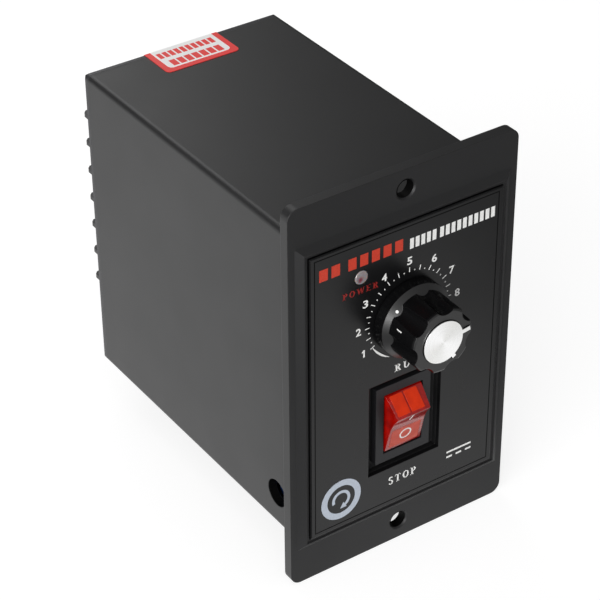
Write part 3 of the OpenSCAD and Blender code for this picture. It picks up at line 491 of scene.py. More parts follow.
# Metals: the knob's bright disc, and scored, plated, blackened or laminated parts
# The disc's second colour is the painted shade of its wedges
ALUMINIUM_SPUN = SpunAluminium("aluminium_spun", "#ffffff", "#ebebe9", (0.0, -16.95, 14.1))
ALUMINIUM_CUT = PlatedMetal("aluminium_extruded", "#d4d5d6", "#b9babc", roughness=0.36, stretch=(1, 1, 10))
NICKEL = PlatedMetal("steel_nickel_plated", "#cdccc6", "#a9a8a1", roughness=0.24)
BLACK_STEEL = PlatedMetal("steel_black_oxide", "#2b2b2d", "#1c1c1d", roughness=0.36)
BRASS = PlatedMetal("brass_turned", "#c9a558", "#a5803c", roughness=0.28)
CORE_STEEL = PlatedMetal("silicon_steel_laminated", "#7b7c7f", "#5e5f62", roughness=0.45, stretch=(1, 30, 1))
# The lit rocker: a deep red shell, glowing orange windows and a frosted pale face. The lamp: milky
RED_LENS = ClearPolycarbonate("polycarbonate_moulded_red", "#b00e04", "#8a0602", glow=0.05, coat=0.1, shine=0.3)
ORANGE_LENS = ClearPolycarbonate("polycarbonate_moulded_orange", "#d83404", "#c42802", glow=0.12, shine=0.08)
FROSTED_LENS = ClearPolycarbonate(
    "polycarbonate_frosted_red", "#cc5a4a", "#bc4c3c", roughness=0.5, glow=0.08, shine=0.15
)
LAMP_RESIN = LampResin("epoxy_cast_milky", "#8e8689", "#7a3a44", (-12.65, -4.0, 27.9))
# Print and labels: flat, opaque colours with thin spots
WHITE_INK = ScreenInk("ink_screened_white", "#f2f2f0", "#d8d8d6")
RED_INK = ScreenInk("ink_screened_red", "#c83a24", "#a82c18")
DIM_RED_INK = ScreenInk("ink_screened_dark_red", "#8e1a14", "#74140f")
GREY_INK = ScreenInk("ink_screened_pale_blue", "#bcc4d0", "#a8b0bc")
RED_VINYL = Vinyl("vinyl_printed_red", "#ea3c3a", "#e03632")
WHITE_VINYL = Vinyl("vinyl_printed_white", "#f6f6f5", "#f0f0ef")
# The board's laminates, ceramic and glass
BOARD = Layered("epoxy_laminate_green", "#2f6b45", "#27603c", 0.35, 1.2)
PAPER_LAMINATE = Layered("phenolic_paper_brown", "#7a4a24", "#6a3e1c", 0.5, 0.8)
TAPED_WIRE = Layered("copper_winding_taped", "#b0702c", "#8f5820", 0.4, 0.6, (1, 1, 8))
CERAMIC = Layered("ceramic_cast_white", "#e4e0d4", "#d4cfc0", 0.7, 0.9)
FUSE_GLASS = Glass("glass_drawn", "#e8eeec")
NEON_GLASS = Glass("glass_drawn_amber", "#e8b48a")


@cache
def material(finish: Finish) -> Material:
    """Build a finish's material on its first use.

    Args:
        finish: The finish.

    Returns:
        Its material.
    """
    r = Recipe(finish.name)
    finish.fill(r)
    return r.material


# Scene and mesh helpers


def into_scene(name: str, data: bpy.types.ID) -> bpy.types.Object:
    """Put new data into the scene.

    Args:
        name: The object's name.
        data: Its mesh, curve, lamp or camera.

    Returns:
        The object.
    """
    item = bpy.data.objects.new(name, data)
    bpy.context.scene.collection.objects.link(item)
    return item


def dress(finish: Finish, *nodes: str) -> None:
    """Give all faces of CAD nodes a finish.

    Args:
        finish: The finish.
        nodes: The nodes' names.
    """
    for node in nodes:
        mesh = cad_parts[node].data
        mesh.materials.clear()
        mesh.materials.append(material(finish))


def piece(name: str, mesh: Mesh, finish: Finish, body: Body, smooth: bool = False) -> bpy.types.Object:
    """Turn a bmesh drawn in millimetres into a piece of the part.

    Args:
        name: The piece's name.
        mesh: Its mesh, which is used up.
        finish: Its finish.
        body: The body that it rides on.
        smooth: Whether edges below 35 degrees are shaded smooth.

    Returns:
        The new object.
    """
    bmesh.ops.recalc_face_normals(mesh, faces=mesh.faces)
    mesh.transform(Matrix.Scale(MM, 4))
    data = bpy.data.meshes.new(name)
    mesh.to_mesh(data)
    mesh.free()
    data.materials.append(material(finish))
    if smooth:
        data.shade_smooth()
        data.set_sharp_from_angle(angle=math.radians(35))
    item = into_scene(name, data)
    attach(item, body.value)
    LOG.info("%s rides on %s", name, body.value)
    return item


def axes(x: Vector, y: Vector, z: Vector, origin: Vector | tuple) -> Matrix:
    """A place by its axes and its origin.

    Args:
        x: The X axis.
        y: The Y axis.
        z: The Z axis.
        origin: Where the origin lies.

    Returns:
        The place's matrix.
    """
    place = Matrix((x, y, z)).transposed().to_4x4()
    place.translation = origin
    return place


def polar(radius: float, degrees: float, centre: Point = (0, 0)) -> Point:
    """The point at an angle from three o'clock round a centre."""
    angle = math.radians(degrees)
    return (centre[0] + radius * math.cos(angle), centre[1] + radius * math.sin(angle))


def joined(rings: list[list[tuple]]) -> Mesh:
    """Faces that are joined where they share corners.

    Args:
        rings: Each face's corners.

    Returns:
        The open mesh.
    """
    mesh = bmesh.new()
    for ring in rings:
        mesh.faces.new([mesh.verts.new(corner) for corner in ring])
    bmesh.ops.remove_doubles(mesh, verts=mesh.verts, dist=0.0005)
    return mesh


def extruded(mesh: Mesh) -> list[bmesh.types.BMVert]:
    """Close an open mesh with a copy of its faces, and return the copy's corners, which are then moved."""
    grown = bmesh.ops.extrude_face_region(mesh, geom=mesh.faces[:])["geom"]
    return [v for v in grown if isinstance(v, bmesh.types.BMVert)]


def raised(outlines: list[Ring], height: float, place: Matrix) -> Mesh:
    """Flat shapes on a sheet that faces -Y, raised towards the viewer.

    Args:
        outlines: Rings of X and Z in millimetres. Rings that share corners are joined.
        height: How far the shapes stand out.
        place: Where the sheet's own origin and axes go.

    Returns:
        The closed mesh in millimetres.
    """
    mesh = joined([[(x, 0, z) for x, z in ring] for ring in outlines])
    bmesh.ops.translate(mesh, verts=extruded(mesh), vec=(0, -height, 0))
    mesh.transform(place)
    return mesh


def arc_strip(inner: float, outer: float, start: float, end: float, steps: int, centre: Point = (0, 0)) -> list:
    """Quads along an arc between two radii and two angles in degrees."""
    rims = [[polar(r, start + (end - start) * i / steps, centre) for i in range(steps + 1)] for r in (inner, outer)]
    return [[rims[0][i], rims[1][i], rims[1][i + 1], rims[0][i + 1]] for i in range(steps)]


def bar(x0: float, x1: float, z0: float, z1: float) -> Ring:
    """An upright rectangle between two corners."""
    return [(x0, z0), (x1, z0), (x1, z1), (x0, z1)]


def rounded_bar(box: Box, radius: float, steps: int = 5) -> Ring:
    """A rectangle with round corners.

    Args:
        box: Its left, right, bottom and top.
        radius: The corners' radius.
        steps: How many steps each corner has.

    Returns:
        Its outline.
    """
    x0, x1, z0, z1 = box
    left, right, low, high = x0 + radius, x1 - radius, z0 + radius, z1 - radius
    corners = (((right, low), -90), ((right, high), 0), ((left, high), 90), ((left, low), 180))
    return [polar(radius, turn + 90 * i / steps, centre) for centre, turn in corners for i in range(steps + 1)]


def border(box: Box, width: float) -> list[Ring]:
    """Four bars just inside a box's sides.

    Args:
        box: The box's left, right, bottom and top.
        width: How wide the bars are.

    Returns:
        The bars.
    """
    x0, x1, z0, z1 = box
    uprights = [bar(x, x + width, z0, z1) for x in (x0, x1 - width)]
    return uprights + [bar(x0 + width, x1 - width, z, z + width) for z in (z0, z1 - width)]


def digits(text: str, box: Box, weight: float) -> Mesh:
    """A number that fills a box on the front sheet.

    Args:
        text: What it says.
        box: The box's left, right, bottom and top in millimetres.
        weight: How much bolder than the plain digits they are.

    Returns:
        The closed mesh in millimetres, standing on y = 0.
    """
    curve = bpy.data.curves.new("digits", "FONT")
    curve.body = text
    curve.offset = weight
    curve.extrude = 0.5
    curve.resolution_u = 3
    holder = into_scene("digits", curve)
    bpy.context.view_layer.update()
    shape = bpy.data.meshes.new_from_object(holder.evaluated_get(bpy.context.evaluated_depsgraph_get()))
    mesh = bmesh.new()
    mesh.from_mesh(shape)
    bpy.data.objects.remove(holder)
    bpy.data.curves.remove(curve)
    bpy.data.meshes.remove(shape)
    bmesh.ops.remove_doubles(mesh, verts=mesh.verts, dist=0.0001)
    low = [min(v.co[i] for v in mesh.verts) for i in range(3)]
    high = [max(v.co[i] for v in mesh.verts) for i in range(3)]
    x0, x1, z0, z1 = box
    for v in mesh.verts:
        share = [(v.co[i] - low[i]) / (high[i] - low[i]) for i in range(3)]
        v.co = (x0 + share[0] * (x1 - x0), -INK * share[2], z0 + share[1] * (z1 - z0))
    return mesh


@dataclass(frozen=True)
class Serif:
    """A bold book alphabet, drawn in strokes on a cap height of one."""

    thick: float = 0.19
    thin: float = 0.085
    foot: float = 0.17
    between: float = 0.18
    bow_steps: int = 12

    def stroke(self, x0: float, z0: float, x1: float, z1: float, width: float) -> Ring:
        """A straight stroke, cut level at both ends."""
        return [(x0 - width / 2, z0), (x0 + width / 2, z0), (x1 + width / 2, z1), (x1 - width / 2, z1)]

    def bow(self, cx: float, cz: float, rx: float, rz: float, start: float, end: float) -> list[Ring]:
        """Part of an oval, thick at its sides and thin at its top and bottom.

        Args:
            cx: The oval's centre along X.
            cz: The oval's centre along Z.
            rx: Its half width.
            rz: Its half height.
            start: Where the part starts, in degrees from three o'clock.
            end: Where it ends.

        Returns:
            The part in quads.
        """
        rims = []
        for i in range(self.bow_steps + 1):
            a = math.radians(start + (end - start) * i / self.bow_steps)
            width = self.thin + (self.thick - self.thin) * abs(math.cos(a))
            rims.append([(cx + (rx - w) * math.cos(a), cz + (rz - w) * math.sin(a)) for w in (width, 0)])
        return [[*rims[i], *rims[i + 1][::-1]] for i in range(self.bow_steps)]

    def stem(self, x: float, width: float, low: float = 0.0, feet: tuple = (True, True)) -> list[Ring]:
        """An upright that ends at the cap height.

        Args:
            x: Its middle.
            width: Its width.
            low: Where it starts.
            feet: Whether there is a serif at its foot and at its head.

        Returns:
            Its strokes.
        """
        rings = [self.stroke(x, low, x, 1, width)]
        half = width / 2 + self.foot * 0.6
        for z, wanted in ((low, feet[0]), (1 - self.thin, feet[1])):
            if wanted:
                rings.append(bar(x - half, x + half, z, z + self.thin))
        return rings

    def letter(self, name: str) -> tuple[float, list[Ring]]:
        """One capital.

        Args:
            name: The capital.

        Returns:
            Its width and its strokes.
        """
        t, n = self.thick, self.thin
        left = self.stem(0.2, t)
        letters = {
            "E": (0.72, [*left, bar(0.12, 0.66, 0, n), bar(0.12, 0.52, 0.46, 0.46 + n), bar(0.12, 0.64, 1 - n, 1)]),
            "N": (0.86, [
                *self.stem(0.16, n), *self.stem(0.7, n, feet=(False, True)), self.stroke(0.66, 0, 0.16, 1, t),
            ]),
            "O": (0.84, self.bow(0.42, 0.5, 0.38, 0.5, 0, 360)),
            "P": (0.7, [*left, *self.bow(0.3, 0.73, 0.36, 0.27, -90, 90)]),
            "R": (0.8, [*left, *self.bow(0.3, 0.74, 0.34, 0.26, -90, 90), self.stroke(0.66, 0, 0.4, 0.5, t)]),
            "S": (0.64, [*self.bow(0.32, 0.74, 0.27, 0.26, 25, 270), *self.bow(0.32, 0.26, 0.29, 0.3, -155, 90)]),
            "T": (0.76, [
                *self.stem(0.38, t, feet=(True, False)),
                bar(0.02, 0.74, 1 - n, 1), bar(0.02, 0.09, 0.78, 1), bar(0.67, 0.74, 0.78, 1),
            ]),
            "U": (0.84, [
                *self.stem(0.2, t, 0.3, (False, True)), *self.stem(0.68, n, 0.3, (False, True)),
                *self.bow(0.41, 0.3, 0.31, 0.3, 180, 360),
            ]),
            "W": (1.08, [
                self.stroke(0.36, 0, 0.14, 1, t * 0.85), self.stroke(0.76, 0, 0.54, 1, t * 0.85),
                self.stroke(0.36, 0, 0.54, 1, n), self.stroke(0.76, 0, 0.94, 1, n),
                bar(0, 0.3, 1 - n, 1), bar(0.84, 1.04, 1 - n, 1),
            ]),
        }
        return letters[name]

    def word(self, text: str, box: Box) -> list[Ring]:
        """A word in capitals that fills a box.

        Args:
            text: The word.
            box: The box's left, right, bottom and top.

        Returns:
            Its strokes.
        """
        rings = []
        start = 0.0
        for name in text:
            width, strokes = self.letter(name)
            rings += [[(start + x, z) for x, z in ring] for ring in strokes]
            start += width + self.between
        x0, x1, z0, z1 = box
        wide, high = (x1 - x0) / (start - self.between), z1 - z0
        return [[(x0 + x * wide, z0 + z * high) for x, z in ring] for ring in rings]


SERIF = Serif()


# Sub-assemblies


@dataclass
class FrontPrint:
    """The printing on the label plate. Lengths are in millimetres, angles in degrees from three o'clock."""

    plate_y: float = -4.0
    dial: Point = (0.34, 14.42)
    last_number: int = 10
    first_angle: float = 210.0
    step_angle: float = 30.0
    number_radius: float = 13.3
    number_h: float = 1.95
    number_w: float = 1.35
    number_weight: float = 0.02
    one_w: float = 0.5
    one_shift: Point = (-0.3, 0.4)
    ticks_a_step: int = 4
    tick: Point = (10.4, 11.6)
    dot: Point = (10.5, 10.83)
    tick_w: float = 0.21
    wedge_start: float = 211.0
    wedge_turn: float = 32.0
    wedge_w: float = 0.5
    wedge_radius: float = 11.05
    title_red: Point = (31.1, 34.0)
    title_white: Point = (30.7, 33.3)
    # Each group of the heading's blocks: its start, how many there are, their width and their gap
    red_groups: tuple = ((-23.1, 2, 2.15, 0.95), (-15.7, 5, 2.05, 0.97))
    white_groups: tuple = ((0.3, 5, 1.0, 0.5), (8.3, 10, 1.02, 0.52))
    words: tuple = (
        ("RUN", (-3.05, 3.6, -0.3, 1.65), WHITE_INK),
        ("STOP", (-4.25, 3.65, -31.7, -29.55), WHITE_INK),
        ("POWER", (-17.2, -7.8, 24.2, 25.8), DIM_RED_INK),
    )
    film: Box = (-24.4, 24.3, -36.5, 36.7)
    # The width of the dark line of painted shade round the film
    film_line: float = 0.22
    lip: Box = (-25.48, 25.48, -37.58, 37.58)
    lip_w: float = 0.18
    lip_sunk: float = 0.3
    emblem: Point = (-17.3, -29.6)
    emblem_r: float = 5.4
    emblem_rim: float = 0.7
    emblem_arc: Point = (0.32, 0.46)
    emblem_turn: Point = (-60, 200)
    arrow: Point = (0.9, 1.5)
    current_line: Box = (12.4, 19.4, -30.1, -29.6)
    current_dash: Box = (0.0, 1.6, -31.5, -31.0)
    current_starts: tuple = (12.4, 15.1, 17.8)

    def ink(self, name: str, rings: list[Ring], ink: ScreenInk = WHITE_INK) -> None:
        """Print flat shapes on the plate."""
        sheet = Matrix.Translation((0, self.plate_y, 0))
        piece(name, raised(rings, INK, sheet), ink, Body.CASE)

    def numbers(self) -> None:
        """Print the numbers round the dial."""
        for value in range(1, self.last_number + 1):
            angle = self.first_angle - (value - 1) * self.step_angle
            x, z = polar(self.number_radius, angle, self.dial)
            if value == 1:
                self.ink("dial_number_1", [self.one(x + self.one_shift[0], z + self.one_shift[1])])
                continue
            text = str(value)
            half_w, half_h = self.number_w * len(text) / 2, self.number_h / 2
            mesh = digits(text, (x - half_w, x + half_w, z - half_h, z + half_h), self.number_weight)
            mesh.transform(Matrix.Translation((0, self.plate_y, 0)))
            piece(f"dial_number_{value}", mesh, WHITE_INK, Body.CASE)

    def one(self, x: float, z: float) -> Ring:
        """The scale's 1: a stem with a sloping flag.

        Args:
            x: Its middle along X.
            z: Its middle along Z.

        Returns:
            Its outline.
        """
        low, top = z - self.number_h / 2, z + self.number_h / 2
        left, right, tip = x - self.one_w / 3, x + self.one_w / 2, x - self.one_w
        flag = [(right - 0.3, top), (tip, top - 0.42), (tip, top - 0.76), (left, top - 0.5)]
        return [(left, low), (right, low), (right, top), *flag]

    def ticks(self) -> None:
        """Print the scale's strokes and dots by turns, and the curved stroke before them."""
        rings = []
        for i in range((self.last_number - 1) * self.ticks_a_step + 1):
            angle = self.first_angle - i * self.step_angle / self.ticks_a_step
            inner, outer = (Vector(polar(r, angle, self.dial)) for r in (self.dot if i % 2 else self.tick))
            across = Vector(polar(self.tick_w / 2, angle + 90))
            corners = (inner - across, outer - across, outer + across, inner + across)
            rings.append([tuple(c) for c in corners])
        self.ink("dial_ticks", rings)
        self.ink("dial_start_wedge", [self.wedge()])

    def wedge(self, steps: int = 16) -> Ring:
        """The curved stroke before the scale's start, pointed at both of its ends.

        Args:
            steps: How many steps it has.

        Returns:
            Its outline.
        """
        rims = ([], [])
        for i in range(steps + 1):
            share = i / steps
            half = self.wedge_w / 2 * math.sin(math.pi * (0.08 + 0.84 * share))
            for rim, r in zip(rims, (self.wedge_radius - half, self.wedge_radius + half)):
                rim.append(polar(r, self.wedge_start + self.wedge_turn * share, self.dial))
        return rims[0] + rims[1][::-1]

    def title(self) -> None:
        """Print the heading as groups of upright blocks, red and then white."""
        for name, (low, high), groups, ink in (
            ("red", self.title_red, self.red_groups, RED_INK),
            ("white", self.title_white, self.white_groups, WHITE_INK),
        ):
            lefts = [(start + i * (w + gap), w) for start, count, w, gap in groups for i in range(count)]
            self.ink(f"title_blocks_{name}", [bar(x, x + w, low, high) for x, w in lefts], ink)

    def film_edges(self) -> None:
        """Print a thin dark line of painted shade round the film, and turn down its lip, which narrows the gap round
        the plate.
        """
        self.ink("painted_shade_edge_line", border(self.film, self.film_line), PAINTED_SHADE_INK)
        sunk = Matrix.Translation((0, self.plate_y + self.lip_sunk, 0))
        lip = raised(border(self.lip, self.lip_w), self.lip_w, sunk)
        piece("plate_lip", lip, FRONT_FILM, Body.CASE)

    def signs(self) -> None:
        """Print the turning sign at the lower left and the direct-current sign at the lower right."""
        r = self.emblem_r
        inner, outer = (r * share for share in self.emblem_arc)
        sign = arc_strip(r * self.emblem_rim, r, start=0, end=360, steps=48, centre=self.emblem)
        sign += arc_strip(inner, outer, *self.emblem_turn, steps=30, centre=self.emblem)
        tip = self.emblem_turn[0]
        base = Vector(polar((inner + outer) / 2, tip, self.emblem))
        out, on = Vector(polar(self.arrow[0], tip)), Vector(polar(self.arrow[1], tip - 90))
        sign.append([tuple(base + out), tuple(base - out), tuple(base + on)])
        self.ink("turning_sign", sign, GREY_INK)
        x0, x1, z0, z1 = self.current_dash
        dashes = [bar(x + x0, x + x1, z0, z1) for x in self.current_starts]
        self.ink("direct_current_sign", [bar(*self.current_line), *dashes])

    def build(self) -> None:
        """Print everything."""
        self.numbers()
        self.ticks()
        self.title()
        self.film_edges()
        self.signs()
        for text, box, ink in self.words:
            self.ink(f"word_{text.lower()}", SERIF.word(text, box), ink)


@dataclass
class Knob:
    """The knob's marks. Lengths are in millimetres, angles in degrees from three o'clock."""

    axis: Point = (0.0, 14.1)
    cone_foot: Point = (9.2, -7.3)
    cone_top: Point = (6.6, -9.6)
    dot_angle: float = 138.2
    dot_radius: float = 8.06
    dot_r: float = 0.35
    stroke_angle: float = 160.2
    stroke_y: Point = (-12.05, -10.4)
    stroke_r: float = 8.0
    stroke_w: float = 0.26

    def dot(self) -> None:
        """The white dot on the skirt's cone."""
        ring = [polar(self.dot_r, 15 * i) for i in range(24)]
        fall = (self.cone_foot[1] - self.cone_top[1]) / (self.cone_foot[0] - self.cone_top[0])
        y = self.cone_foot[1] - fall * (self.cone_foot[0] - self.dot_radius)
        # The sheet faces -Y: it leans out onto the cone at three o'clock, then turns to the dot's angle
        lean = Matrix.Translation((self.dot_radius, y, 0)) @ Matrix.Rotation(math.atan(fall), 4, "Z")
        turn = Matrix.Rotation(math.radians(-self.dot_angle), 4, "Y")
        place = Matrix.Translation((self.axis[0], 0, self.axis[1])) @ turn @ lean
        piece("knob_dot", raised([ring], INK, place), WHITE_INK, Body.DIAL)

    def stroke(self) -> None:
        """The short white stroke on the side of a lobe."""
        long = self.stroke_y[1] - self.stroke_y[0]
        ring = rounded_bar((-self.stroke_w / 2, self.stroke_w / 2, -long / 2, long / 2), radius=self.stroke_w * 0.4)
        # The sheet faces -Y: it is turned to face outwards from the axis, with its length along Y
        turn = Matrix.Rotation(math.radians(-self.stroke_angle), 4, "Y") @ Matrix.Translation((self.stroke_r, 0, 0))
        face = Matrix(((0, -1, 0, 0), (0, 0, 1, 0), (-1, 0, 0, 0), (0, 0, 0, 1)))
        middle = Matrix.Translation((self.axis[0], sum(self.stroke_y) / 2, self.axis[1]))
        mesh = raised([ring], INK * 2, middle @ turn @ face)
        piece("knob_stroke", mesh, WHITE_INK, Body.DIAL)

    def build(self) -> None:
        """Dress the knob and mark it."""
        dress(KNOB_ABS, "knob")
        dress(ALUMINIUM_SPUN, "knob_cap")
        dress(BRASS, "knob_insert")
        dress(BLACK_STEEL, "knob_screw")
        self.dot()
        self.stroke()


@dataclass
class Rocker:
    """The lit rocker. Lengths are in millimetres from its pivot."""

    pivot: Vector = field(default_factory=lambda: Vector((0, -0.9, -14.4)))
    radius: float = 8.0
    depth: float = 2.5
    ridge: Point = (-6.7, 3.5)
    valley: Point = (-4.4, 0.0)
    back: float = 1.7
    waist: float = 3.6
    half: float = 5.2
    taper: float = 0.112
    bend: Point = (0.45, 0.3)
    edge: float = 0.28
    windows: tuple = (("left", -4.05, -0.72), ("right", -0.34, 3.2))
    window_z: Point = (-2.3, 2.75)
    face: Box = (-4.0, 4.0, -3.3, 2.6)
    mark_o: Point = (1.25, 1.62)
    mark_i: Box = (-0.17, 0.17, -1.2, 1.6)

    def ends(self) -> tuple[Point, Point]:
        """Where the rocker's upper and its lower end meet the bezel, in Y and Z."""
        reach = math.sqrt(self.radius**2 - self.depth**2)
        return (-self.depth, reach), (-self.depth, -reach)

    def width(self, y: float) -> float:
        """Half the rocker's width at a depth."""
        return self.half - max(0.0, -y) * self.taper

    def profile(self) -> Ring:
        """The rocker's section, with its valley rounded.

        Returns:
            Its outline in Y and Z.
        """
        top, low = self.ends()
        ridge, valley, towards = Vector(self.ridge), Vector(self.valley), Vector(low)
        first = valley + (ridge - valley) * self.bend[0]
        last = valley + (towards - valley) * self.bend[1]
        shares = [i / 6 for i in range(7)]
        bend = [tuple(first * (1 - t) ** 2 + valley * 2 * t * (1 - t) + last * t**2) for t in shares]
        meets = math.asin(self.depth / self.radius)
        turns = [meets * (1 - i / 3) for i in range(1, 4)]
        arc_top = [(self.radius * -math.sin(a), self.radius * math.cos(a)) for a in turns]
        arc_low = [(y, -z) for y, z in reversed(arc_top)]
        return [top, tuple(ridge), *bend, low, *arc_low, (self.back, -self.waist), (self.back, self.waist), *arc_top]

    def shell(self) -> None:
        """The translucent red moulding."""
        mesh = bmesh.new()
        sides = [[mesh.verts.new((s * self.width(y), y, z)) for y, z in self.profile()] for s in (-1, 1)]
        count = len(sides[0])
        mesh.faces.new(sides[0])
        mesh.faces.new(sides[1][::-1])
        for i in range(count):
            j = (i + 1) % count
            mesh.faces.new([sides[0][i], sides[1][i], sides[1][j], sides[0][j]])
        bmesh.ops.recalc_face_normals(mesh, faces=mesh.faces)
        sharp = [e for e in mesh.edges if e.calc_face_angle(0) > math.radians(25)]
        bmesh.ops.bevel(
            mesh, geom=sharp, offset=self.edge, segments=3, profile=0.5, affect="EDGES", clamp_overlap=True
        )
        mesh.transform(Matrix.Translation(self.pivot))
        shell = piece("rocker_shell", mesh, RED_LENS, Body.ROCKER, smooth=True)
        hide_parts("switch_rocker")

    def on_face(self, start: Point, end: Point) -> Matrix:
        """The sheet at the middle of a face.

        Args:
            start: The face's upper point in Y and Z.
            end: Its lower point.

        Returns:
            The sheet's place.
        """
        up = (Vector((0, *start)) - Vector((0, *end))).normalized()
        right = Vector((1, 0, 0))
        middle = (Vector((0, *start)) + Vector((0, *end))) / 2 + self.pivot
        return axes(right, up.cross(right), up, middle)

    def mark(self, name: str, rings: list[Ring], height: float, place: Matrix, finish: Finish = WHITE_INK) -> None:
        """Raise a piece of the rocker from one of its faces."""
        piece(f"rocker_{name}", raised(rings, height, place), finish, Body.ROCKER)

    def marks(self) -> None:
        """The windows, the frosted lower face and the I and O marks."""
        top, low = self.ends()
        wall = self.on_face(top, self.ridge)
        for name, x0, x1 in self.windows:
            pane = rounded_bar((x0, x1, *self.window_z), radius=0.2)
            self.mark(f"window_{name}", [pane], height=0.12, place=wall, finish=ORANGE_LENS)
        lower = self.on_face(self.valley, low)
        self.mark("face", [rounded_bar(self.face, radius=0.4)], height=0.05, place=lower, finish=FROSTED_LENS)
        self.mark("mark_o", arc_strip(*self.mark_o, start=0, end=360, steps=40), height=0.09, place=lower)
        upper = self.on_face(self.ridge, self.valley)
        self.mark("mark_i", [bar(*self.mark_i)], height=0.05, place=upper)

    def build(self) -> None:
        """Make the rocker and dress the switch."""
        self.shell()
        self.marks()
        dress(BEZEL_NYLON, "switch_frame")
        dress(RED_LENS, "switch_rocker")


@dataclass
class Seal:
    """The blank seal over the top rear edge. Lengths are in millimetres."""

    centre_x: float = -0.6
    half_w: float = 10.0
    front: Point = (75.2, 41.1)
    folds: tuple = ((85.86, 41.1), (86.75, 40.21))
    foot: Point = (86.75, 30.95)
    thick: float = 0.14
    border: float = 1.5
    corner: float = 1.2
    # Each row of blocks: its start, their height, how many there are, their width and its shift across
    block_rows: tuple = ((77.3, 2.8, 7, 1.6, 0.0), (81.7, 2.6, 10, 1.12, -0.3))
    block_gap: float = 0.45

    def rounded_end(self, along: float, border: float) -> Ring:
        """One end of a sheet with two round corners.

        Args:
            along: Where the end lies along the seal.
            border: How far it stays inside the seal's outline.

        Returns:
            From left to right, X and the place along the seal.
        """
        half = self.half_w - border - self.corner
        points = []
        for side in (-1, 1):
            steps = [math.radians(15 * i) for i in range(7)]
            for a in steps if side < 0 else reversed(steps):
                x = self.centre_x + side * (half + self.corner * math.cos(a))
                points.append((x, along + self.corner * (1 - math.sin(a))))
        return points

    def film(self, border: float, sunk: float, thick: float) -> Mesh:
        """A sheet with rounded corners that folds over the bevel.

        Args:
            border: How far it stays inside the seal's outline.
            sunk: How far its underside lies below the seal's surface.
            thick: Its thickness.

        Returns:
            The closed mesh in millimetres.
        """
        left = self.centre_x - self.half_w + border
        right = self.centre_x + self.half_w - border
        (fold_y, top_z), (back_y, fold_z) = self.folds
        top_z, back_y = top_z - sunk, back_y - sunk
        top = [(x, y, top_z) for x, y in self.rounded_end(self.front[0] + border, border)]
        back = [(x, back_y, z) for x, z in reversed(self.rounded_end(self.foot[1] + border, border))]
        upper = [(right, fold_y, top_z), (left, fold_y, top_z)]
        lower = [(left, back_y, fold_z), (right, back_y, fold_z)]
        mesh = joined([top + upper, upper + lower, lower[::-1] + back[::-1]])
        bmesh.ops.recalc_face_normals(mesh, faces=mesh.faces)
        if sum(f.normal.y + f.normal.z for f in mesh.faces) < 0:
            bmesh.ops.reverse_faces(mesh, faces=mesh.faces)
        mesh.normal_update()
        for v in extruded(mesh):
            out = (v.co.z > fold_z + 0.01, v.co.y > fold_y + 0.01)
            v.co += Vector((0, thick * out[1], thick * out[0]))
        return mesh

    def build(self) -> None:
        """Lay the red film, and its white field with blocks in place of words."""
        dress(RED_VINYL, "seal_sticker")
        red = piece("seal_red_film", self.film(0.0, self.thick, self.thick), RED_VINYL, Body.CASE)
        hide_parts("seal_sticker")
        piece("seal_field", self.film(self.border, 0.0, INK), WHITE_VINYL, Body.CASE)
        self.rows()

    def rows(self) -> None:
        """Two rows of red blocks on the top of the field."""
        blocks = []
        for y, high, count, width, shift in self.block_rows:
            step = width + self.block_gap
            start = self.centre_x + shift - (count * step - self.block_gap) / 2
            blocks += [bar(start + i * step, start + i * step + width, y, y + high) for i in range(count)]
        # The sheet faces -Y: it is laid down to face upwards
        top_z = self.folds[0][1] + INK * 0.9
        face = Matrix(((1, 0, 0, 0), (0, 0, 1, 0), (0, -1, 0, top_z), (0, 0, 0, 1)))
        piece("seal_blocks", raised(blocks, INK, face), RED_VINYL, Body.CASE)


@dataclass
class Case:
    """The moulded case with its plate, cover and lamp, and a dark lining of painted shade in its holes. Lengths are in
    millimetres.
    """

    # How far the lining of painted shade reaches in from each hole's wall, and how far it stays off the wall
    skin: float = 0.05
    clear: float = 0.005
    mount_r: float = 2.1
    mount_z: float = 45.0
    mount_y: Point = (-2.3, -0.1)
    adjuster_r: float = 3.5
    adjuster: Point = (7.7, -31.2)
    adjuster_x: Point = (-26.7, -24.7)

    def line_hole(self, name: str, radius: float, length: float, place: Matrix, steps: int) -> None:
        """Line a hole with a dark sheet of painted shade, from where the sheet's inner end lies."""
        ring = arc_strip(radius - self.skin, radius - self.clear, start=0, end=360, steps=steps)
        piece(f"painted_shade_hole_{name}", raised(ring, length, place), PAINTED_HOLE_SHADE, Body.CASE)

    def build(self) -> None:
        """Dress the case's nodes, and line its two mounting holes and the adjuster's hole with painted shade."""
        dress(CASE_ABS, "housing")
        dress(FRONT_FILM, "label_plate")
        dress(COVER_ABS, "rear_cover")
        dress(LAMP_RESIN, "led")
        y0, y1 = self.mount_y
        for name, z in (("upper", self.mount_z), ("lower", -self.mount_z)):
            self.line_hole(name, self.mount_r, y1 - y0, Matrix.Translation((0, y1, z)), steps=40)
        x0, x1 = self.adjuster_x
        # The sheet faces -Y: it is turned to face -X
        place = Matrix.Translation((x1, *self.adjuster)) @ Matrix.Rotation(math.radians(-90), 4, "Z")
        self.line_hole("adjuster", self.adjuster_r, x1 - x0, place, steps=48)


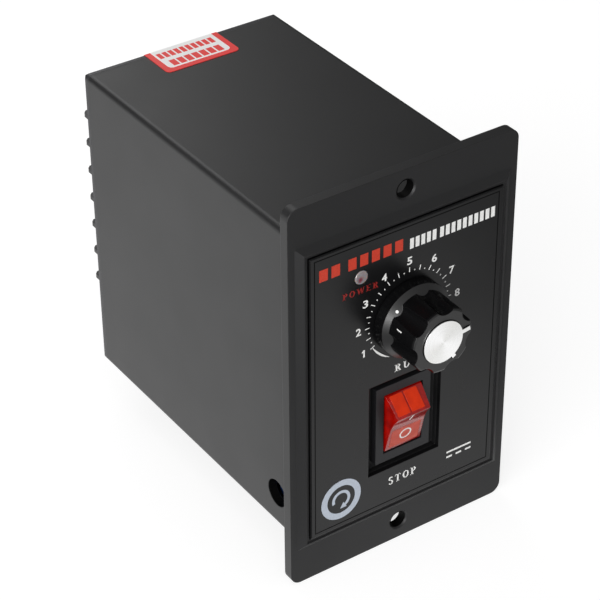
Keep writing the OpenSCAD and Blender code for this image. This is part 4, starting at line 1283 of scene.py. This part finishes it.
@dataclass
class Works:
    """The screws, the indicator's fittings, the switch's inside, the potentiometer, the strip and the board."""

    finishes: tuple = (
        (BLACK_STEEL, "cover_screws strip_screws"),
        (
            NICKEL, "led_leads switch_terminals pot_bush pot_can pot_washer pot_nut device_screws fuse_clips "
            "terminal_screws terminal_clamps",
        ),
        (BRASS, "switch_contact pot_wiper terminal_tails"),
        (ALUMINIUM_CUT, "pot_shaft heat_sink"),
        (BLACK_PHENOLIC, "led_clip power_devices bridge_rectifier control_chip terminal_block"),
        (NATURAL_NYLON, "switch_plunger trimmer_rotor"),
        (PAPER_LAMINATE, "pot_track"),
        (BOARD, "main_board"),
        (BLUE_PBT, "trimmer_body"),
        (BLUE_SLEEVE, "filter_capacitor"),
        (YELLOW_FILM, "film_capacitor"),
        (CORE_STEEL, "transformer_core"),
        (TAPED_WIRE, "transformer_winding"),
        (CERAMIC, "power_resistor"),
        (FUSE_GLASS, "fuse"),
        (NEON_GLASS, "switch_lamp"),
    )

    def build(self) -> None:
        """Dress each group of nodes."""
        for finish, nodes in self.finishes:
            dress(finish, *nodes.split())


@dataclass
class Studio:
    """The floor, the light and the camera. The camera's numbers come from a fit to straight edges."""

    floor_z: float = -0.0502
    floor_half: float = 4.0
    azimuth: float = -34.125
    elevation: float = 34.576
    roll: float = -0.507
    lens: float = 131.742
    spot: tuple = (-0.237343, -0.312981, 0.286036)
    sensor_mm: float = 36.0
    # How bright the floor is by itself, and how much light it gives back
    floor_glow: float = 0.76
    floor_grey: float = 0.35
    # What glossy faces see of the floor: each row scales it across one line, x plus a share of y, from one
    # place and level to another. It is brightest before the part's foot, dimmer to the right, at the back
    # right and at the front left, and bright again far out at the front left
    pools: tuple = (
        (0.0, 0.0, 0.1, 1.35, 0.6),
        (0.0, -0.05, 0.0, 0.74, 1.0),
        (0.5, 0.04, 0.06, 1.0, 0.25),
        (0.7, -0.06, -0.032, 0.3, 1.0),
        (0.7, -0.3, -0.19, 6.0, 1.0),
    )
    # How the room's light changes from left to right and from front to back
    room_side: Box = (-0.6, 0.7, 0.9, 0.4)
    room_depth: Box = (-0.1, 0.6, 1.0, 0.2)
    # Each lamp: its name, its place and its side in metres, and its power in watts
    lamps: tuple = (
        ("softbox_left", (-0.95, -0.45, 0.45), 0.8, 7.0),
        ("softbox_front", (-0.82, -0.85, 0.07), 0.38, 5.6),
        ("card_back", (0.05, 0.42, 0.31), 0.28, 0.5),
    )
    aim: tuple = (0, 0.04, 0)

    def floor(self) -> None:
        """A flat white floor that keeps the part's shadow."""
        mesh = bpy.data.meshes.new("floor")
        h, z = self.floor_half, self.floor_z
        mesh.from_pydata([(-h, -h, z), (h, -h, z), (h, h, z), (-h, h, z)], [], [(0, 1, 2, 3)])
        into_scene("floor", mesh)
        paper = bpy.data.materials.new("paper_sweep_white")
        tree = blank(paper)
        rays = add(tree, "LightPath").outputs
        place = add(tree, "SeparateXYZ", {0: add(tree, "TexCoord").outputs["Object"]}).outputs
        gloss = rays["Is Glossy Ray"]
        for share, start, end, low, high in self.pools:
            line = maths(tree, "MULTIPLY_ADD", place[1], share, place[0])
            gloss = maths(tree, "MULTIPLY", gloss, map_range(tree, line, start, end, low, high))
        seen = maths(tree, "MAXIMUM", rays["Is Camera Ray"], gloss)
        seen = maths(tree, "MAXIMUM", seen, rays["Is Transmission Ray"])
        strength = maths(tree, "MULTIPLY", seen, self.floor_glow)
        glow = add(tree, "Emission", {"Color": (1, 1, 1, 1), "Strength": strength}).outputs[0]
        matt = add(tree, "BsdfDiffuse", {"Color": (*[self.floor_grey] * 3, 1)}).outputs[0]
        both = add(tree, "AddShader", {0: glow, 1: matt}).outputs[0]
        add(tree, "OutputMaterial", {"Surface": both})
        mesh.materials.append(paper)

    def world(self) -> None:
        """A room that is pale at the front left and dark at the rear, which the case's long upper edge mirrors."""
        world = bpy.data.worlds.new("room")
        bpy.context.scene.world = world
        tree = blank(world)
        towards = add(tree, "SeparateXYZ", {0: add(tree, "TexCoord").outputs["Generated"]}).outputs
        side = map_range(tree, towards[0], *self.room_side)
        depth = map_range(tree, towards[1], *self.room_depth)
        level = maths(tree, "MULTIPLY", side, depth)
        back = add(tree, "Background", {"Color": (1, 1, 1, 1), "Strength": level}).outputs[0]
        add(tree, "OutputWorld", {"Surface": back})

    def light(self) -> None:
        """Square soft lamps that face the part."""
        for name, spot, size, watts in self.lamps:
            data = bpy.data.lights.new(name, "AREA")
            data.shape = "SQUARE"
            data.size = size
            data.energy = watts
            item = into_scene(name, data)
            item.location = spot
            item.rotation_euler = (Vector(self.aim) - Vector(spot)).to_track_quat("-Z", "Y").to_euler()

    def camera(self) -> None:
        """The camera at the photograph's place."""
        az, el, roll = (math.radians(a) for a in (self.azimuth, self.elevation, self.roll))
        back = Vector((math.sin(az) * math.cos(el), -math.cos(az) * math.cos(el), math.sin(el)))
        right = Vector((math.cos(az), math.sin(az), 0))
        up = back.cross(right)
        right, up = (
            right * math.cos(roll) + up * math.sin(roll),
            up * math.cos(roll) - right * math.sin(roll),
        )
        data = bpy.data.cameras.new("camera")
        data.sensor_width = self.sensor_mm
        data.lens = self.lens
        data.clip_start = 0.01
        item = into_scene("camera", data)
        item.matrix_world = axes(right, up, back, self.spot)
        bpy.context.scene.camera = item

    def build(self) -> None:
        """Set up the studio."""
        self.floor()
        self.world()
        self.light()
        self.camera()
        bpy.context.scene.view_settings.view_transform = "Standard"


def main() -> None:
    """Build the part's looks and the studio round them."""
    logging.basicConfig(level=logging.INFO, format="%(message)s")
    for item in (Studio(), Case(), Works(), FrontPrint(), Knob(), Rocker(), Seal()):
        LOG.info("Building %s", type(item).__name__)
        item.build()


if __name__ == "__main__":
    main()
